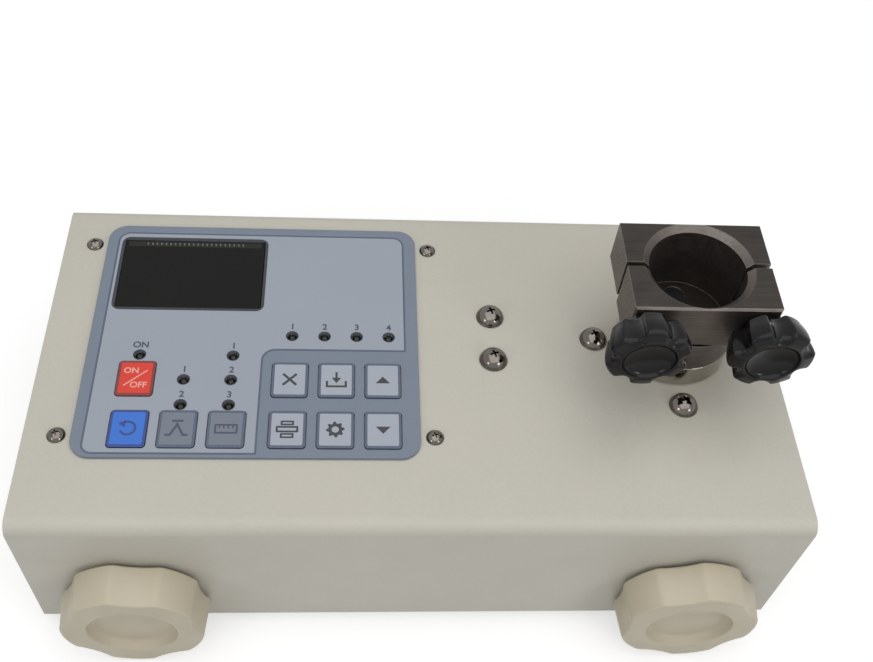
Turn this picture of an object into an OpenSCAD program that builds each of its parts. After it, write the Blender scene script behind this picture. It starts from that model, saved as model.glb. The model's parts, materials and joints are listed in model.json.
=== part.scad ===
// Bench torque tester with a split chuck, a key panel and four knob feet.
// Millimetres, +Z up. The origin is on the ground, under the middle of the housing.

/* [Housing] */
// Width of the housing, left to right
body_w = 210; // [206:1:240]
// Depth of the housing, front to rear
body_d = 110.8; // [106:0.1:130]
// Height of the housing, without the feet
body_h = 51.3; // [49:0.1:70]
// Thickness of the sheet metal
sheet_t = 1.5; // [1.2:0.1:1.8]
// Outside radius of the bends along the front and rear edges
bend_r = 4; // [3:0.5:6]
// Clearance between sheets that are set inside each other
sheet_gap = 0.1; // [0.05:0.01:0.2]
// Width of the flange at the foot of each side plate
flange_w = 12; // [10:0.5:13]
// Screws along each side of the base plate
base_screw_count = 3; // [2:1:4]
// Distance from the first to the last base screw on a side
base_screw_span = 84; // [60:1:90]

/* [Feet] */
// Diameter over the lobes of a foot
foot_d = 40; // [36:0.5:42]
// Thickness of a foot along its stud
foot_t = 11; // [9:0.5:13]
// Number of lobes on a foot
foot_lobes = 5; // [5:1:8]
// Depth of the hollow between two lobes
foot_hollow = 1.8; // [1.4:0.1:2.4]
// How much smaller the outer face of a foot is, in radius
foot_draft = 1; // [0.5:0.1:1.5]
// Radius of the dish at the face of a foot
foot_dish_r = 11.4; // [10:0.1:13]
// Radius of the dish at its floor
foot_dish_floor_r = 9.6; // [8:0.1:9.8]
// Depth of the dish
foot_dish_depth = 2.2; // [1.5:0.1:2.6]
// Distance between the left and right feet
foot_spacing = 153; // [140:1:158]
// Height of the housing over the ground
foot_clear = 5; // [4:0.1:6]
// Radius of a foot's stud
stud_r = 3; // [2.5:0.1:3.4]
// Length of a stud inside its foot
stud_grip = 6; // [5:0.5:6.5]
// Radius of the collar between a foot and the housing
collar_r = 6; // [5:0.5:7]
// Thickness of that collar
collar_t = 1; // [0.8:0.1:1.5]
// Width across the flats of a stud's nut
stud_nut_af = 10; // [9.5:0.5:11]
// Thickness of a stud's nut
stud_nut_t = 4; // [3:0.5:5]

/* [Key panel] */
// Distance from the left end of the housing to the overlay
overlay_left = 12.7; // [11:0.1:14]
// Middle of the key panel, from the middle of the housing
panel_y = 6.2; // [4:0.1:8]
// Width of the overlay
overlay_w = 92.6; // [92:0.1:95]
// Depth of the overlay
overlay_d = 81.9; // [81:0.1:84]
// Thickness of the overlay with its spacer
overlay_t = 1; // [0.8:0.1:1.4]
// Corner radius of the overlay
overlay_r = 5.5; // [4:0.5:7]
// Width of a key
key_w = 10; // [9:0.1:10.6]
// Depth of a key
key_d = 11.6; // [11:0.1:12]
// Corner radius of a key
key_r = 1; // [0.6:0.1:1.6]
// Distance between key columns
key_pitch_x = 12.9; // [12.6:0.1:13.2]
// Distance between key rows
key_pitch_y = 16.3; // [16:0.1:16.8]
// First column of the left keys, from the middle of the panel
left_keys_x = -31.7; // [-33:0.1:-31]
// First column of the right keys, from the middle of the panel
right_keys_x = 10.3; // [9:0.1:11]
// Upper row of keys, from the middle of the panel
upper_keys_y = -16; // [-17:0.1:-15]
// How far a key travels
key_travel = 0.4; // [0.2:0.05:0.45]
// How far a key stands over the overlay
key_proud = 0.4; // [0.2:0.05:0.6]
// Clearance around a key
key_gap = 0.2; // [0.15:0.01:0.3]
// Radius of the pusher under a key
pusher_r = 1.7; // [1.4:0.1:1.9]

/* [Display and lamps] */
// Width of the display window
window_w = 42; // [38:0.5:43]
// Depth of the display window
window_d = 26.4; // [24:0.1:27]
// Middle of the window, from the middle of the panel
window_x = -20.2; // [-21:0.1:-19]
// Middle of the window, from the middle of the panel
window_y = 22.3; // [21:0.1:23]
// Radius of an indicator lamp
lamp_r = 1.45; // [1.2:0.05:1.5]
// Distance between lamp rows over the left keys
lamp_pitch_y = 8.3; // [8:0.1:8.4]
// Height of the lowest lamp row over the lower keys
lamp_over_key = 7.9; // [7.7:0.1:8.2]
// Distance between the lamps of the upper row
lamp_pitch_x = 9.2; // [8:0.1:9.6]
// Height of the upper lamp row, from the middle of the panel
upper_lamps_y = -0.6; // [-1:0.1:1]
// Distance of the panel screws beyond the overlay's sides
panel_screw_out = 3.9; // [3.6:0.1:5]
// Distance of the panel screws inside the overlay's front and rear edges
panel_screw_in = 7.1; // [5:0.1:9]
// Radius of a panel screw
panel_screw_r = 1.25; // [1:0.05:1.4]
// Radius of a panel screw's head
panel_head_r = 2.45; // [2.2:0.05:2.8]

/* [Torque head] */
// Torque axis, from the right end of the housing
head_right = 30; // [29.5:0.5:32]
// Torque axis, from the middle of the housing
head_y = 6.5; // [4:0.5:9]
// Radius of the circle of dome screws round the axis
dome_circle_r = 23; // [22.6:0.1:23.4]
// Radius of a dome screw
dome_screw_r = 2; // [1.8:0.1:2.1]
// Radius of a dome screw's head
dome_head_r = 4.1; // [3.8:0.1:4.4]
// Height of a dome screw's head
dome_head_h = 2.8; // [2.4:0.1:3]
// Place of the pair of dome screws between the torque axis and the panel board
pair_share = 0.8; // [0.7:0.01:0.85]
// Distance between the two screws of the pair
pair_pitch = 15.6; // [14:0.1:18]
// Thickness of the plate under the panel
plate_t = 5; // [4:0.5:6]
// Depth of the plate under the panel
plate_d = 58; // [50:1:64]
// Inner radius of the ball bearing
bearing_in_r = 10; // [9:0.1:10.4]
// Outer radius of the ball bearing
bearing_out_r = 16; // [15.8:0.1:16.4]
// Width of the ball bearing
bearing_t = 7; // [6:0.1:8]
// Balls in the bearing
ball_count = 12; // [8:1:14]
// Length of the torsion bar between its flanges
bar_l = 23.3; // [20:0.1:24.5]
// Radius of the torsion bar
bar_r = 3; // [2.6:0.1:3.4]

/* [Chuck] */
// Radius of the polished flange and of the hub
hub_r = 16; // [15:0.5:17]
// Height of the polished flange
flange_h = 7.5; // [6:0.5:9]
// Height of the chuck's top over the panel
chuck_top = 34.2; // [33:0.1:38]
// Width of the jaws
jaw_w = 40; // [39:0.5:44]
// Depth of the two jaws together, as they stand
jaw_d = 31; // [30:0.5:34]
// Height of the rear jaw
rear_jaw_h = 13.8; // [13:0.1:14.4]
// Height of the front jaw
front_jaw_h = 15.4; // [15:0.1:16]
// Opening between the jaws, as they stand
jaw_gap = 1.4; // [1.25:0.05:2]
// Radius of the bore that grips a lamp cap
cap_r = 13.5; // [13:0.1:13.8]
// Depth of that bore
cap_depth = 22.9; // [20:0.1:24]
// Width of the bevel round the mouth of the bore
mouth_bevel = 1.8; // [1:0.1:2]
// Bevel along the edges of the jaws
edge_bevel = 0.6; // [0.4:0.1:1]
// Distance between the two clamp screws
clamp_spacing = 32.8; // [32.4:0.1:33]
// Radius of a clamp screw
clamp_screw_r = 2; // [1.8:0.05:2.1]
// Depth of a clamp screw in the rear jaw
clamp_grip = 11; // [10:0.5:12]
// Running clearance of a clamp screw
clamp_run = 0.06; // [0.03:0.01:0.09]
// Radius over the lobes of a clamp knob
knob_r = 12.2; // [11:0.1:12.5]
// Length of a clamp knob's lobed body
knob_t = 10.2; // [9:0.1:12]
// Lobes of a clamp knob
knob_lobes = 6; // [5:1:8]
// Radius of the hollows between those lobes
knob_hollow_r = 3.6; // [3:0.1:4]
// Radius of the bowl in a clamp knob's face
knob_bowl_r = 6.2; // [5:0.1:7]
// Depth of that bowl
knob_bowl_depth = 2.2; // [1.5:0.1:3]
// Radius of the collar behind a clamp knob
knob_collar_r = 6.5; // [5:0.1:7]
// Length of that collar
knob_collar_t = 2; // [1.5:0.1:3]

/* [Power and boards] */
// Radius of a battery cell
cell_r = 7.25; // [7:0.05:7.3]
// Length of a battery cell
cell_l = 50.5; // [48:0.5:51]
// Cells in the pack
cell_count = 6; // [5:1:6]
// Room between the cells and the reaction plate
battery_gap = 8.25; // [2:0.25:10]
// Room between the main board and the cells
main_gap = 6.75; // [5.5:0.25:12]
// Depth of the main board
main_d = 72; // [64:1:76]
// Height of the main board over the base plate
main_lift = 8; // [6:0.5:9]
// Middle of the charging socket, from the middle of the housing
jack_x = -8; // [-12:0.5:-4]
// Middle of the serial socket, from the middle of the housing
port_x = -38; // [-42:0.5:-34]
// Height of both sockets over the foot of the housing
socket_z = 27; // [24:0.5:30]

/* [Hidden] */
$fn = 64;

// Overrun of a cut past the face that it leaves
cut = 1;
// Clearance of parts that are pressed or screwed together
press = 0.02;
// Clearance round a fixed screw in a plain hole
hole_gap = 0.15;
// Air between a moving face and a fixed one
air = 0.3;
// Cross slot in a screw's head
slot_w = 0.8;
slot_depth = 1.2;
// Small screws of the base, the boards, the strap and the torsion bar
small_r = 1.5;
small_head_r = 2.75;
small_head_h = 1.8;
// Circuit boards
pcb_t = 1.6;

// Levels
foot_z = foot_d / 2;
floor_z = foot_clear;
deck_z = floor_z + sheet_t;
top_z = floor_z + body_h;
under_z = top_z - sheet_t;
overlay_top = top_z + overlay_t;

// Housing
inner_w = body_w - 2 * (sheet_t + sheet_gap);
inner_d = body_d - 2 * (sheet_t + sheet_gap);
wall_y = body_d / 2;
flange_x = body_w / 2 - flange_w / 2;
base_screw_l = 3.2;

// Feet
crest_half = 360 / foot_lobes / 4;
crest_chord = foot_d / 2 * sin(crest_half);
crest_reach = foot_d / 2 * cos(crest_half);
hollow_sag = foot_hollow - (foot_d / 2 - crest_reach);
hollow_r = (crest_chord * crest_chord + hollow_sag * hollow_sag) / (2 * hollow_sag);
// How far each foot is turned off its lowest lobe, as shares of half a lobe
turn_shares = [-0.4, 0.9, 0.6, -0.3];
// Air between the end of a stud and the end of its hole
stud_end_gap = 0.5;
// Running clearance of a foot on its stud
stud_run = 0.05;
// Thread of a stud that stands out of its nut
stud_tail = 1;

// Key panel
panel_x = overlay_left + overlay_w / 2 - body_w / 2;
panel_screw_x = overlay_w + 2 * panel_screw_out;
panel_screw_y = overlay_d - 2 * panel_screw_in;
panel_head_h = 1.7;
panel_nut_af = 5;
panel_nut_t = 2;
panel_tail = 0.6;
sleeve_r = 2.6;
board_drop = 3.6;
board_margin = 4.5;
board_top = under_z - board_drop;
board_under = board_top - pcb_t;
board_w = panel_screw_x + 2 * board_margin;
board_d = panel_screw_y + 2 * board_margin;
switch_w = 6;
switch_gap = 0.5;
switch_top = under_z - switch_gap;
well_gap = 0.1;
well_depth = 1.6;
stem_in = 0.8;
pusher_gap = 0.4;
key_rest = 0.1;
key_under = top_z + key_travel + key_rest;
lamp_gap = 0.15;
lamp_rim = 0.3;
lamp_rim_t = 0.8;
lamp_sink = 0.3;
lens_gap = 0.2;
lens_sink = 0.1;
module_margin = 2.5;
module_gap = 0.1;
module_h = board_drop - module_gap;
lower_keys_y = upper_keys_y - key_pitch_y;
lamp_row_y = lower_keys_y + lamp_over_key;
POWER = [left_keys_x, upper_keys_y];
RESET = [left_keys_x, lower_keys_y];
MODE = [left_keys_x + key_pitch_x, lower_keys_y];
UNIT = [left_keys_x + 2 * key_pitch_x, lower_keys_y];
CLEAR = [right_keys_x, upper_keys_y];
SAVE = [right_keys_x + key_pitch_x, upper_keys_y];
UP = [right_keys_x + 2 * key_pitch_x, upper_keys_y];
PRINT = [right_keys_x, lower_keys_y];
SET = [right_keys_x + key_pitch_x, lower_keys_y];
DOWN = [right_keys_x + 2 * key_pitch_x, lower_keys_y];
KEYS = [POWER, RESET, MODE, UNIT, CLEAR, SAVE, UP, PRINT, SET, DOWN];
LAMPS = concat(
    [[left_keys_x, lamp_row_y + 2 * lamp_pitch_y]],
    [for (i = [0:1]) [left_keys_x + key_pitch_x, lamp_row_y + i * lamp_pitch_y]],
    [for (i = [0:2]) [left_keys_x + 2 * key_pitch_x, lamp_row_y + i * lamp_pitch_y]],
    [for (i = [0:3]) [right_keys_x + i * lamp_pitch_x, upper_lamps_y]]
);

// Torque head
head_x = body_w / 2 - head_right;
board_end = panel_x + board_w / 2;
pair_x = pair_share * (head_x - board_end);
plate_r = 4;
plate_end_gap = 3;
plate_board_gap = 4.3;
plate_left = board_end + plate_board_gap;
plate_w = body_w / 2 - plate_end_gap - plate_left;
plate_x = plate_left + plate_w / 2;
plate_z = under_z - plate_t;
pillar_r = 4;
pillar_rim = 0.5;
pillar_hole = 12;
dome_grip = 7.5;
race_t = 2;
lip_t = 1.5;
ball_wall = 1.1;
ball_run = 0.08;
ball_ring_r = (bearing_in_r + bearing_out_r) / 2;
ball_r = (bearing_out_r - bearing_in_r) / 2 - ball_wall;
bearing_z = under_z - lip_t - bearing_t;
clip_t = 1.2;
clip_w = 2.5;
clip_gap = 0.3;
boss_gap = 0.4;
boss_r = dome_circle_r - pillar_r - boss_gap;
boss_z = bearing_z - clip_t - clip_gap;
shoulder = 1.5;
shaft_gap = 1;
flange_z = top_z + 0.5 * shaft_gap;
hub_z = flange_z + flange_h;
bar_flange_t = 4;
bar_flange_r = 14;
bar_square = 7.2;
bar_square_l = 12;
bar_z = bearing_z - 2 * bar_flange_t - bar_l;
bar_mid_z = bar_z + bar_flange_t + bar_l / 2;
gauge_w = 3;
gauge_l = 7;
gauge_t = 0.3;
bolt_r = 1.25;
bolt_head_r = 2.2;
bolt_head_h = 2.4;
bolt_circle_r = 7.2;
bolt_grip = 6;
// Room for the bar's twist round its bolts
bolt_slack = 0.35;
reaction_t = 4;
reaction_bolt_r = 10;
reaction_r = dome_circle_r + pillar_r + pillar_rim;
reaction_z = bar_z - reaction_t;
amp_pillar_gap = 5;
amp_d = 36;
amp_h = 12;
amp_hole = 9;
amp_left = plate_left;
amp_right = head_x - dome_circle_r - pillar_r - amp_pillar_gap;
amp_z = plate_z - amp_h;

// Chuck
chuck_z = top_z + chuck_top;
rear_z = chuck_z - rear_jaw_h;
front_z = chuck_z - front_jaw_h;
cap_floor_z = chuck_z - cap_depth;
clamp_z = front_z + front_jaw_h / 2;
front_y = head_y - jaw_d / 2;
front_split_y = head_y - jaw_gap / 2;
rear_split_y = head_y + jaw_gap / 2;
rear_y = head_y + jaw_d / 2;
chuck_bolt_circle_r = 8.5;
sunk_head_r = 2.9;
sunk_head_h = 1.6;
chuck_bolt_l = 8;
clamp_end_gap = 1.5;
knob_y = front_y - air;
knob_round = 1.2;
knob_hollow = 2;
knob_core = 4;
bowl_ball_r = (knob_bowl_r * knob_bowl_r + knob_bowl_depth * knob_bowl_depth)
    / (2 * knob_bowl_depth);

// Battery
battery_x = head_x - reaction_r - battery_gap - cell_l / 2;
battery_left = battery_x - cell_l / 2;
cell_gap = 0.05;
cell_pitch = 2 * cell_r + cell_gap;
pack_half = cell_count * cell_pitch / 2;
strap_w = 12;
strap_t = 1;
strap_foot = 8;
strap_gap = 0.1;
strap_leg_y = pack_half + strap_gap;
strap_screw_y = strap_leg_y + strap_t + strap_foot / 2;

// Main board and its parts
main_flange_gap = 5;
main_left = flange_w + main_flange_gap - body_w / 2;
main_right = battery_left - main_gap;
main_w = main_right - main_left;
main_x = (main_left + main_right) / 2;
main_inset = 4;
main_under = deck_z + main_lift;
main_top = main_under + pcb_t;
spacer_r = 3;
spacer_hole = 3.5;
header_w = 9;
header_l = 26;
header_h = 9;
header_in = 13;
header_x = main_right - header_in;
top_header_in = 30.7;
top_header_x = board_end - top_header_in;
plug_w = 6;
plug_l = 8;
plug_h = 6;
chip_w = 14;
chip_h = 1.5;
chip_x = main_left + main_w / 2;
small_chip = 7;
small_chip_in = 17;
can_r = 4;
can_h = 11;
can_gap = 4;
can_front = 4;
buzzer_r = 6;
buzzer_h = 9.5;
buzzer_in = 15;
plug_in = 6;
side_plug_y = 22;
charge_plug_in = 19;
port_plug_in = 32;
rear_plug_in = 9;
rear_plug_y = main_d / 2 - rear_plug_in;
sensor_plug = [main_right - plug_in, side_plug_y];
battery_plug = [main_right - plug_in, -side_plug_y];
charge_plug = [main_right - charge_plug_in, rear_plug_y];
port_plug = [main_right - port_plug_in, rear_plug_y];

// Sockets in the rear wall
rear_socket_z = floor_z + socket_z;
jack_r = 5;
jack_rim_r = 6.5;
jack_rim_t = 1.5;
jack_l = 12;
jack_bore_r = 2.75;
jack_bore_l = 9.5;
jack_pin_r = 1;
jack_pin_sink = 1;
jack_nut_af = 13;
jack_nut_t = 2.5;
port_w = 30.8;
port_h = 12.5;
port_t = 1;
port_shell_w = 16.9;
port_shell_h = 8.3;
port_shell_l = 6;
port_shell_t = 0.8;
port_lean = 1.4;
port_body_w = 19;
port_body_h = 10.6;
port_body_l = 8;
port_pitch = 25;
port_pin_r = 0.55;
port_pin_pitch = 2.77;
port_row_pitch = 2.84;
port_insert_sink = 0.6;
lock_af = 5;
lock_l = 5;
lock_hole_r = 1.4;

// Leads, held at both ends inside the housing
lead_sides = 8;
lead_r = 1.2;
ribbon_w = 24;
ribbon_t = 0.9;
ribbon_steps = 10;
lead_lift = 8;
lead_out = 8;

// A plate outline with round corners, about the origin
module rounded_outline(w, d, r) {
    square([w - 2 * r, d], center = true);
    square([w, d - 2 * r], center = true);
    for (x = [-1, 1], y = [-1, 1])
        translate([x * (w / 2 - r), y * (d / 2 - r)]) circle(r);
}

// The housing's section across its bends, as a sheet inset from the outside
module wrap_outline(inset, low_z) {
    half = body_d / 2 - inset;
    high = top_z - inset;
    r = bend_r - inset;
    translate([-half, low_z]) square([2 * half, high - r - low_z]);
    translate([r - half, low_z]) square([2 * (half - r), high - low_z]);
    for (s = [-1, 1]) translate([s * (half - r), high - r]) circle(r);
}

// Extrudes an outline drawn in Y and Z along X
module along_x(x, l) {
    translate([x, 0, 0]) rotate([90, 0, 90]) linear_extrude(l) children();
}

// Turns a shape that is drawn upwards so that it points to the front
module to_front(x, y, z) {
    translate([x, y, z]) rotate([90, 0, 0]) children();
}

module hexagon(af, h) {
    cylinder(h = h, r = af / sqrt(3), $fn = 6);
}

module tube(outer, inner, h) {
    difference() {
        cylinder(h = h, r = outer);
        translate([0, 0, -cut]) cylinder(h = h + 2 * cut, r = inner);
    }
}

// A screw with a domed cross head that stands on z = 0 and a shank below it
module dome_screw(r, l, head_r, head_h) {
    ball_r = (head_r * head_r + head_h * head_h) / (2 * head_h);
    difference() {
        union() {
            intersection() {
                translate([0, 0, head_h - ball_r]) sphere(ball_r);
                cylinder(h = head_h, r = head_r + cut);
            }
            translate([0, 0, -l]) cylinder(h = l, r = r);
        }
        for (a = [0, 90]) rotate(a)
            translate([-head_r / 2, -slot_w / 2, head_h - slot_depth])
                cube([head_r, slot_w, slot_depth + cut]);
    }
}

// The same screw upside down, for a head under a plate
module under_screw(r, l, head_r, head_h) {
    mirror([0, 0, 1]) dome_screw(r, l, head_r, head_h);
}

module at_panel(places) {
    for (p = places) translate([panel_x + p[0], panel_y + p[1], 0]) children();
}

module at_panel_corners() {
    for (x = [-1, 1], y = [-1, 1])
        translate([panel_x + x * panel_screw_x / 2, panel_y + y * panel_screw_y / 2, 0])
            children();
}

// Places round the torque axis
module round_head(count, r, start = 0) {
    translate([head_x, head_y, 0])
        for (i = [0:count - 1]) rotate(start + i * 360 / count) translate([r, 0, 0]) children();
}

module at_pair() {
    for (s = [-1, 1])
        translate([head_x - pair_x, head_y + s * pair_pitch / 2, 0]) children();
}

module at_flanges() {
    for (s = [-1, 1], i = [0:base_screw_count - 1])
        translate([s * flange_x, base_screw_span * (i / (base_screw_count - 1) - 0.5), 0])
            children();
}

module at_strap_screws() {
    for (s = [-1, 1]) translate([battery_x, s * strap_screw_y, 0]) children();
}

module at_main_corners() {
    for (x = [-1, 1], y = [-1, 1])
        translate([main_x + x * (main_w / 2 - main_inset),
            y * (main_d / 2 - main_inset), 0]) children();
}

module at_feet(y) {
    for (s = [-1, 1]) translate([s * foot_spacing / 2, y, foot_z]) children();
}

function unit(v) = v / norm(v);

// The direction of a run, and the plane that two runs share at their bend
function run(points, i) = unit(points[i + 1] - points[i]);
function mitre(points, i) = i == len(points) - 1 ? run(points, i - 1)
    : unit(run(points, i - 1) + run(points, i));

// Slides a ring along a run until it meets a plane
function slide(ring, d, p, n) = [for (v = ring) v + d * ((p - v) * n) / (d * n)];
function rings(points, ring, i = 0) = i == len(points) - 1 ? ring
    : concat(ring, rings(points,
        slide(ring, run(points, i), points[i + 1], mitre(points, i + 1)), i + 1));

// A round lead along straight runs with mitred bends
module lead(points, r) {
    d = run(points, 0);
    side = unit(cross(d, abs(d[2]) > 0.9 ? [1, 0, 0] : [0, 0, 1]));
    up = cross(side, d);
    n = lead_sides;
    ring = [for (i = [0:n - 1]) points[0]
        + r * (cos(i * 360 / n) * side + sin(i * 360 / n) * up)];
    last = n * (len(points) - 1);
    polyhedron(rings(points, ring), concat([[for (i = [n - 1:-1:0]) i]],
        [for (k = [0:n:last - 1], i = [0:n - 1])
            [k + i, k + (i + 1) % n, k + n + (i + 1) % n, k + n + i]],
        [[for (i = [0:n - 1]) last + i]]));
}

module port_outline(w, h) {
    polygon([[-w / 2, h / 2], [w / 2, h / 2], [w / 2 - port_lean, -h / 2],
        [port_lean - w / 2, -h / 2]]);
}

module rear_holes() {
    to_front(jack_x, wall_y + cut, rear_socket_z)
        cylinder(h = sheet_t + 2 * cut, r = jack_r + hole_gap);
    to_front(port_x, wall_y + cut, rear_socket_z) linear_extrude(sheet_t + 2 * cut)
        port_outline(port_shell_w + 2 * hole_gap, port_shell_h + 2 * hole_gap);
    for (s = [-1, 1]) to_front(port_x + s * port_pitch / 2, wall_y + cut, rear_socket_z)
        cylinder(h = sheet_t + 2 * cut, r = lock_hole_r + hole_gap);
}

module top_cover() {
    color([0.78, 0.76, 0.7]) difference() {
        along_x(-body_w / 2, body_w) wrap_outline(0, floor_z);
        along_x(-body_w / 2 - cut, body_w + 2 * cut) wrap_outline(sheet_t, floor_z - cut);
        translate([0, 0, under_z - cut]) {
            at_panel([[window_x, window_y]])
                linear_extrude(sheet_t + 2 * cut) square([window_w, window_d], center = true);
            at_panel(KEYS) cylinder(h = sheet_t + 2 * cut, r = pusher_r + pusher_gap);
            at_panel(LAMPS) cylinder(h = sheet_t + 2 * cut, r = lamp_r + lamp_rim + lamp_gap);
            at_panel_corners() cylinder(h = sheet_t + 2 * cut, r = panel_screw_r + hole_gap);
            round_head(4, dome_circle_r)
                cylinder(h = sheet_t + 2 * cut, r = dome_screw_r + hole_gap);
            at_pair() cylinder(h = sheet_t + 2 * cut, r = dome_screw_r + hole_gap);
            translate([head_x, head_y, 0])
                cylinder(h = sheet_t + 2 * cut, r = bearing_in_r + shoulder + shaft_gap);
        }
        for (y = [-wall_y, wall_y]) at_feet(y) rotate([90, 0, 0])
            cylinder(h = 2 * (sheet_t + cut), r = stud_r + hole_gap, center = true);
        rear_holes();
    }
}

module side_plate(side) {
    inset = sheet_t + sheet_gap;
    edge_x = body_w / 2;
    color([0.76, 0.74, 0.68]) mirror([side < 0 ? 1 : 0, 0, 0]) difference() {
        union() {
            along_x(edge_x - sheet_t, sheet_t) wrap_outline(inset, floor_z);
            translate([edge_x - flange_w, -inner_d / 2, deck_z])
                cube([flange_w, inner_d, sheet_t]);
        }
        for (i = [0:base_screw_count - 1])
            translate([flange_x, base_screw_span * (i / (base_screw_count - 1) - 0.5),
                deck_z - cut]) cylinder(h = sheet_t + 2 * cut, r = small_r + press);
    }
}

module side_plate_left() {
    side_plate(-1);
}

module side_plate_right() {
    side_plate(1);
}

module base_plate() {
    color([0.62, 0.62, 0.6]) difference() {
        translate([-inner_w / 2, -inner_d / 2, floor_z]) cube([inner_w, inner_d, sheet_t]);
        translate([0, 0, floor_z - cut]) {
            at_flanges() cylinder(h = sheet_t + 2 * cut, r = small_r + hole_gap);
            at_strap_screws() cylinder(h = sheet_t + 2 * cut, r = small_r + hole_gap);
            at_main_corners() cylinder(h = sheet_t + 2 * cut, r = small_r + hole_gap);
        }
    }
}

module case_screws() {
    color("silver") {
        translate([0, 0, floor_z]) {
            at_flanges() under_screw(small_r, base_screw_l, small_head_r, small_head_h);
            at_strap_screws() under_screw(small_r, base_screw_l, small_head_r, small_head_h);
            at_main_corners()
                under_screw(small_r, sheet_t + spacer_hole, small_head_r, small_head_h);
        }
        translate([0, 0, main_top]) at_main_corners()
            dome_screw(small_r, pcb_t + spacer_hole / 2, small_head_r, small_head_h);
    }
}

module foot_outline() {
    difference() {
        circle(d = foot_d);
        for (i = [0:foot_lobes - 1]) rotate((i + 0.5) * 360 / foot_lobes)
            translate([foot_d / 2 - foot_hollow + hollow_r, 0]) circle(hollow_r);
    }
}

module foot(side, turn_share) {
    color([0.82, 0.79, 0.7]) to_front(side * foot_spacing / 2, -wall_y - collar_t, foot_z)
        difference() {
            intersection() {
                rotate(turn_share * crest_half - 90) linear_extrude(foot_t) foot_outline();
                cylinder(h = foot_t, r1 = foot_d / 2, r2 = foot_d / 2 - foot_draft);
            }
            translate([0, 0, foot_t - foot_dish_depth])
                cylinder(h = foot_dish_depth, r1 = foot_dish_floor_r, r2 = foot_dish_r);
            translate([0, 0, foot_t]) cylinder(h = cut, r = foot_dish_r);
            translate([0, 0, -cut])
                cylinder(h = stud_grip + stud_end_gap + cut, r = stud_r + stud_run);
        }
}

module foot_front_left() {
    foot(-1, turn_shares[0]);
}

module foot_front_right() {
    foot(1, turn_shares[1]);
}

module foot_rear_left() {
    mirror([0, 1, 0]) foot(-1, turn_shares[2]);
}

module foot_rear_right() {
    mirror([0, 1, 0]) foot(1, turn_shares[3]);
}

module foot_studs() {
    tail = sheet_t + stud_nut_t + stud_tail;
    color("silver") for (m = [0, 1], s = [-1, 1]) mirror([0, m, 0])
        to_front(s * foot_spacing / 2, -wall_y, foot_z) {
            cylinder(h = collar_t, r = collar_r);
            translate([0, 0, -tail]) cylinder(h = tail + collar_t + stud_grip, r = stud_r);
        }
}

module foot_nuts() {
    color("silver") for (m = [0, 1], s = [-1, 1]) mirror([0, m, 0])
        to_front(s * foot_spacing / 2, sheet_t + stud_nut_t - wall_y, foot_z) difference() {
            hexagon(stud_nut_af, stud_nut_t);
            translate([0, 0, -cut]) cylinder(h = stud_nut_t + 2 * cut, r = stud_r + press);
        }
}

module keypad_overlay() {
    color([0.6, 0.64, 0.7]) translate([0, 0, top_z]) difference() {
        at_panel([[0, 0]]) linear_extrude(overlay_t)
            rounded_outline(overlay_w, overlay_d, overlay_r);
        translate([0, 0, -cut]) {
            at_panel([[window_x, window_y]])
                linear_extrude(overlay_t + 2 * cut) square([window_w, window_d], center = true);
            at_panel(KEYS) linear_extrude(overlay_t + 2 * cut)
                rounded_outline(key_w + 2 * key_gap, key_d + 2 * key_gap, key_r + key_gap);
            at_panel(LAMPS) cylinder(h = overlay_t + 2 * cut, r = lamp_r + lamp_gap);
        }
    }
}

module display_lens() {
    lens_z = board_top + module_h;
    color([0.2, 0.2, 0.2, 0.6]) at_panel([[window_x, window_y]]) translate([0, 0, lens_z])
        linear_extrude(overlay_top - lens_sink - lens_z)
            square([window_w - 2 * lens_gap, window_d - 2 * lens_gap], center = true);
}

module display_module() {
    color([0.12, 0.12, 0.12]) at_panel([[window_x, window_y]]) translate([0, 0, board_top])
        linear_extrude(module_h)
            square([window_w + 2 * module_margin, window_d + 2 * module_margin], center = true);
}

module key(place, rgb) {
    color(rgb) at_panel([place]) {
        translate([0, 0, key_under]) linear_extrude(overlay_top + key_proud - key_under)
            rounded_outline(key_w, key_d, key_r);
        translate([0, 0, switch_top - stem_in])
            cylinder(h = key_under - switch_top + stem_in, r = pusher_r);
    }
}

module key_switches() {
    color([0.15, 0.15, 0.16]) at_panel(KEYS) difference() {
        translate([-switch_w / 2, -switch_w / 2, board_top])
            cube([switch_w, switch_w, switch_top - board_top]);
        translate([0, 0, switch_top - well_depth])
            cylinder(h = well_depth + cut, r = pusher_r + well_gap);
    }
}

module indicator_lamps() {
    tip = overlay_top - lamp_sink;
    color([0.1, 0.1, 0.1]) at_panel(LAMPS) {
        translate([0, 0, board_top]) cylinder(h = lamp_rim_t, r = lamp_r + lamp_rim);
        translate([0, 0, board_top]) cylinder(h = tip - lamp_r - board_top, r = lamp_r);
        translate([0, 0, tip - lamp_r]) sphere(lamp_r);
    }
}

module display_board() {
    color([0.1, 0.4, 0.2]) difference() {
        at_panel([[0, 0]]) translate([-board_w / 2, -board_d / 2, board_under])
            cube([board_w, board_d, pcb_t]);
        at_panel_corners() translate([0, 0, board_under - cut])
            cylinder(h = pcb_t + 2 * cut, r = panel_screw_r + hole_gap);
    }
}

module display_board_parts() {
    color([0.2, 0.2, 0.22]) translate([top_header_x, 0, board_under - header_h])
        translate([-header_w / 2, -header_l / 2, 0]) cube([header_w, header_l, header_h]);
    color([0.08, 0.08, 0.09]) at_panel([[window_x, window_y]])
        translate([-chip_w / 2, -chip_w / 2, board_under - chip_h])
            cube([chip_w, chip_w, chip_h]);
}

module board_sleeves() {
    color("silver") {
        at_panel_corners() translate([0, 0, board_top])
            tube(sleeve_r, panel_screw_r + hole_gap, board_drop);
        at_main_corners() translate([0, 0, deck_z])
            tube(spacer_r, small_r + press, main_lift);
    }
}

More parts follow.
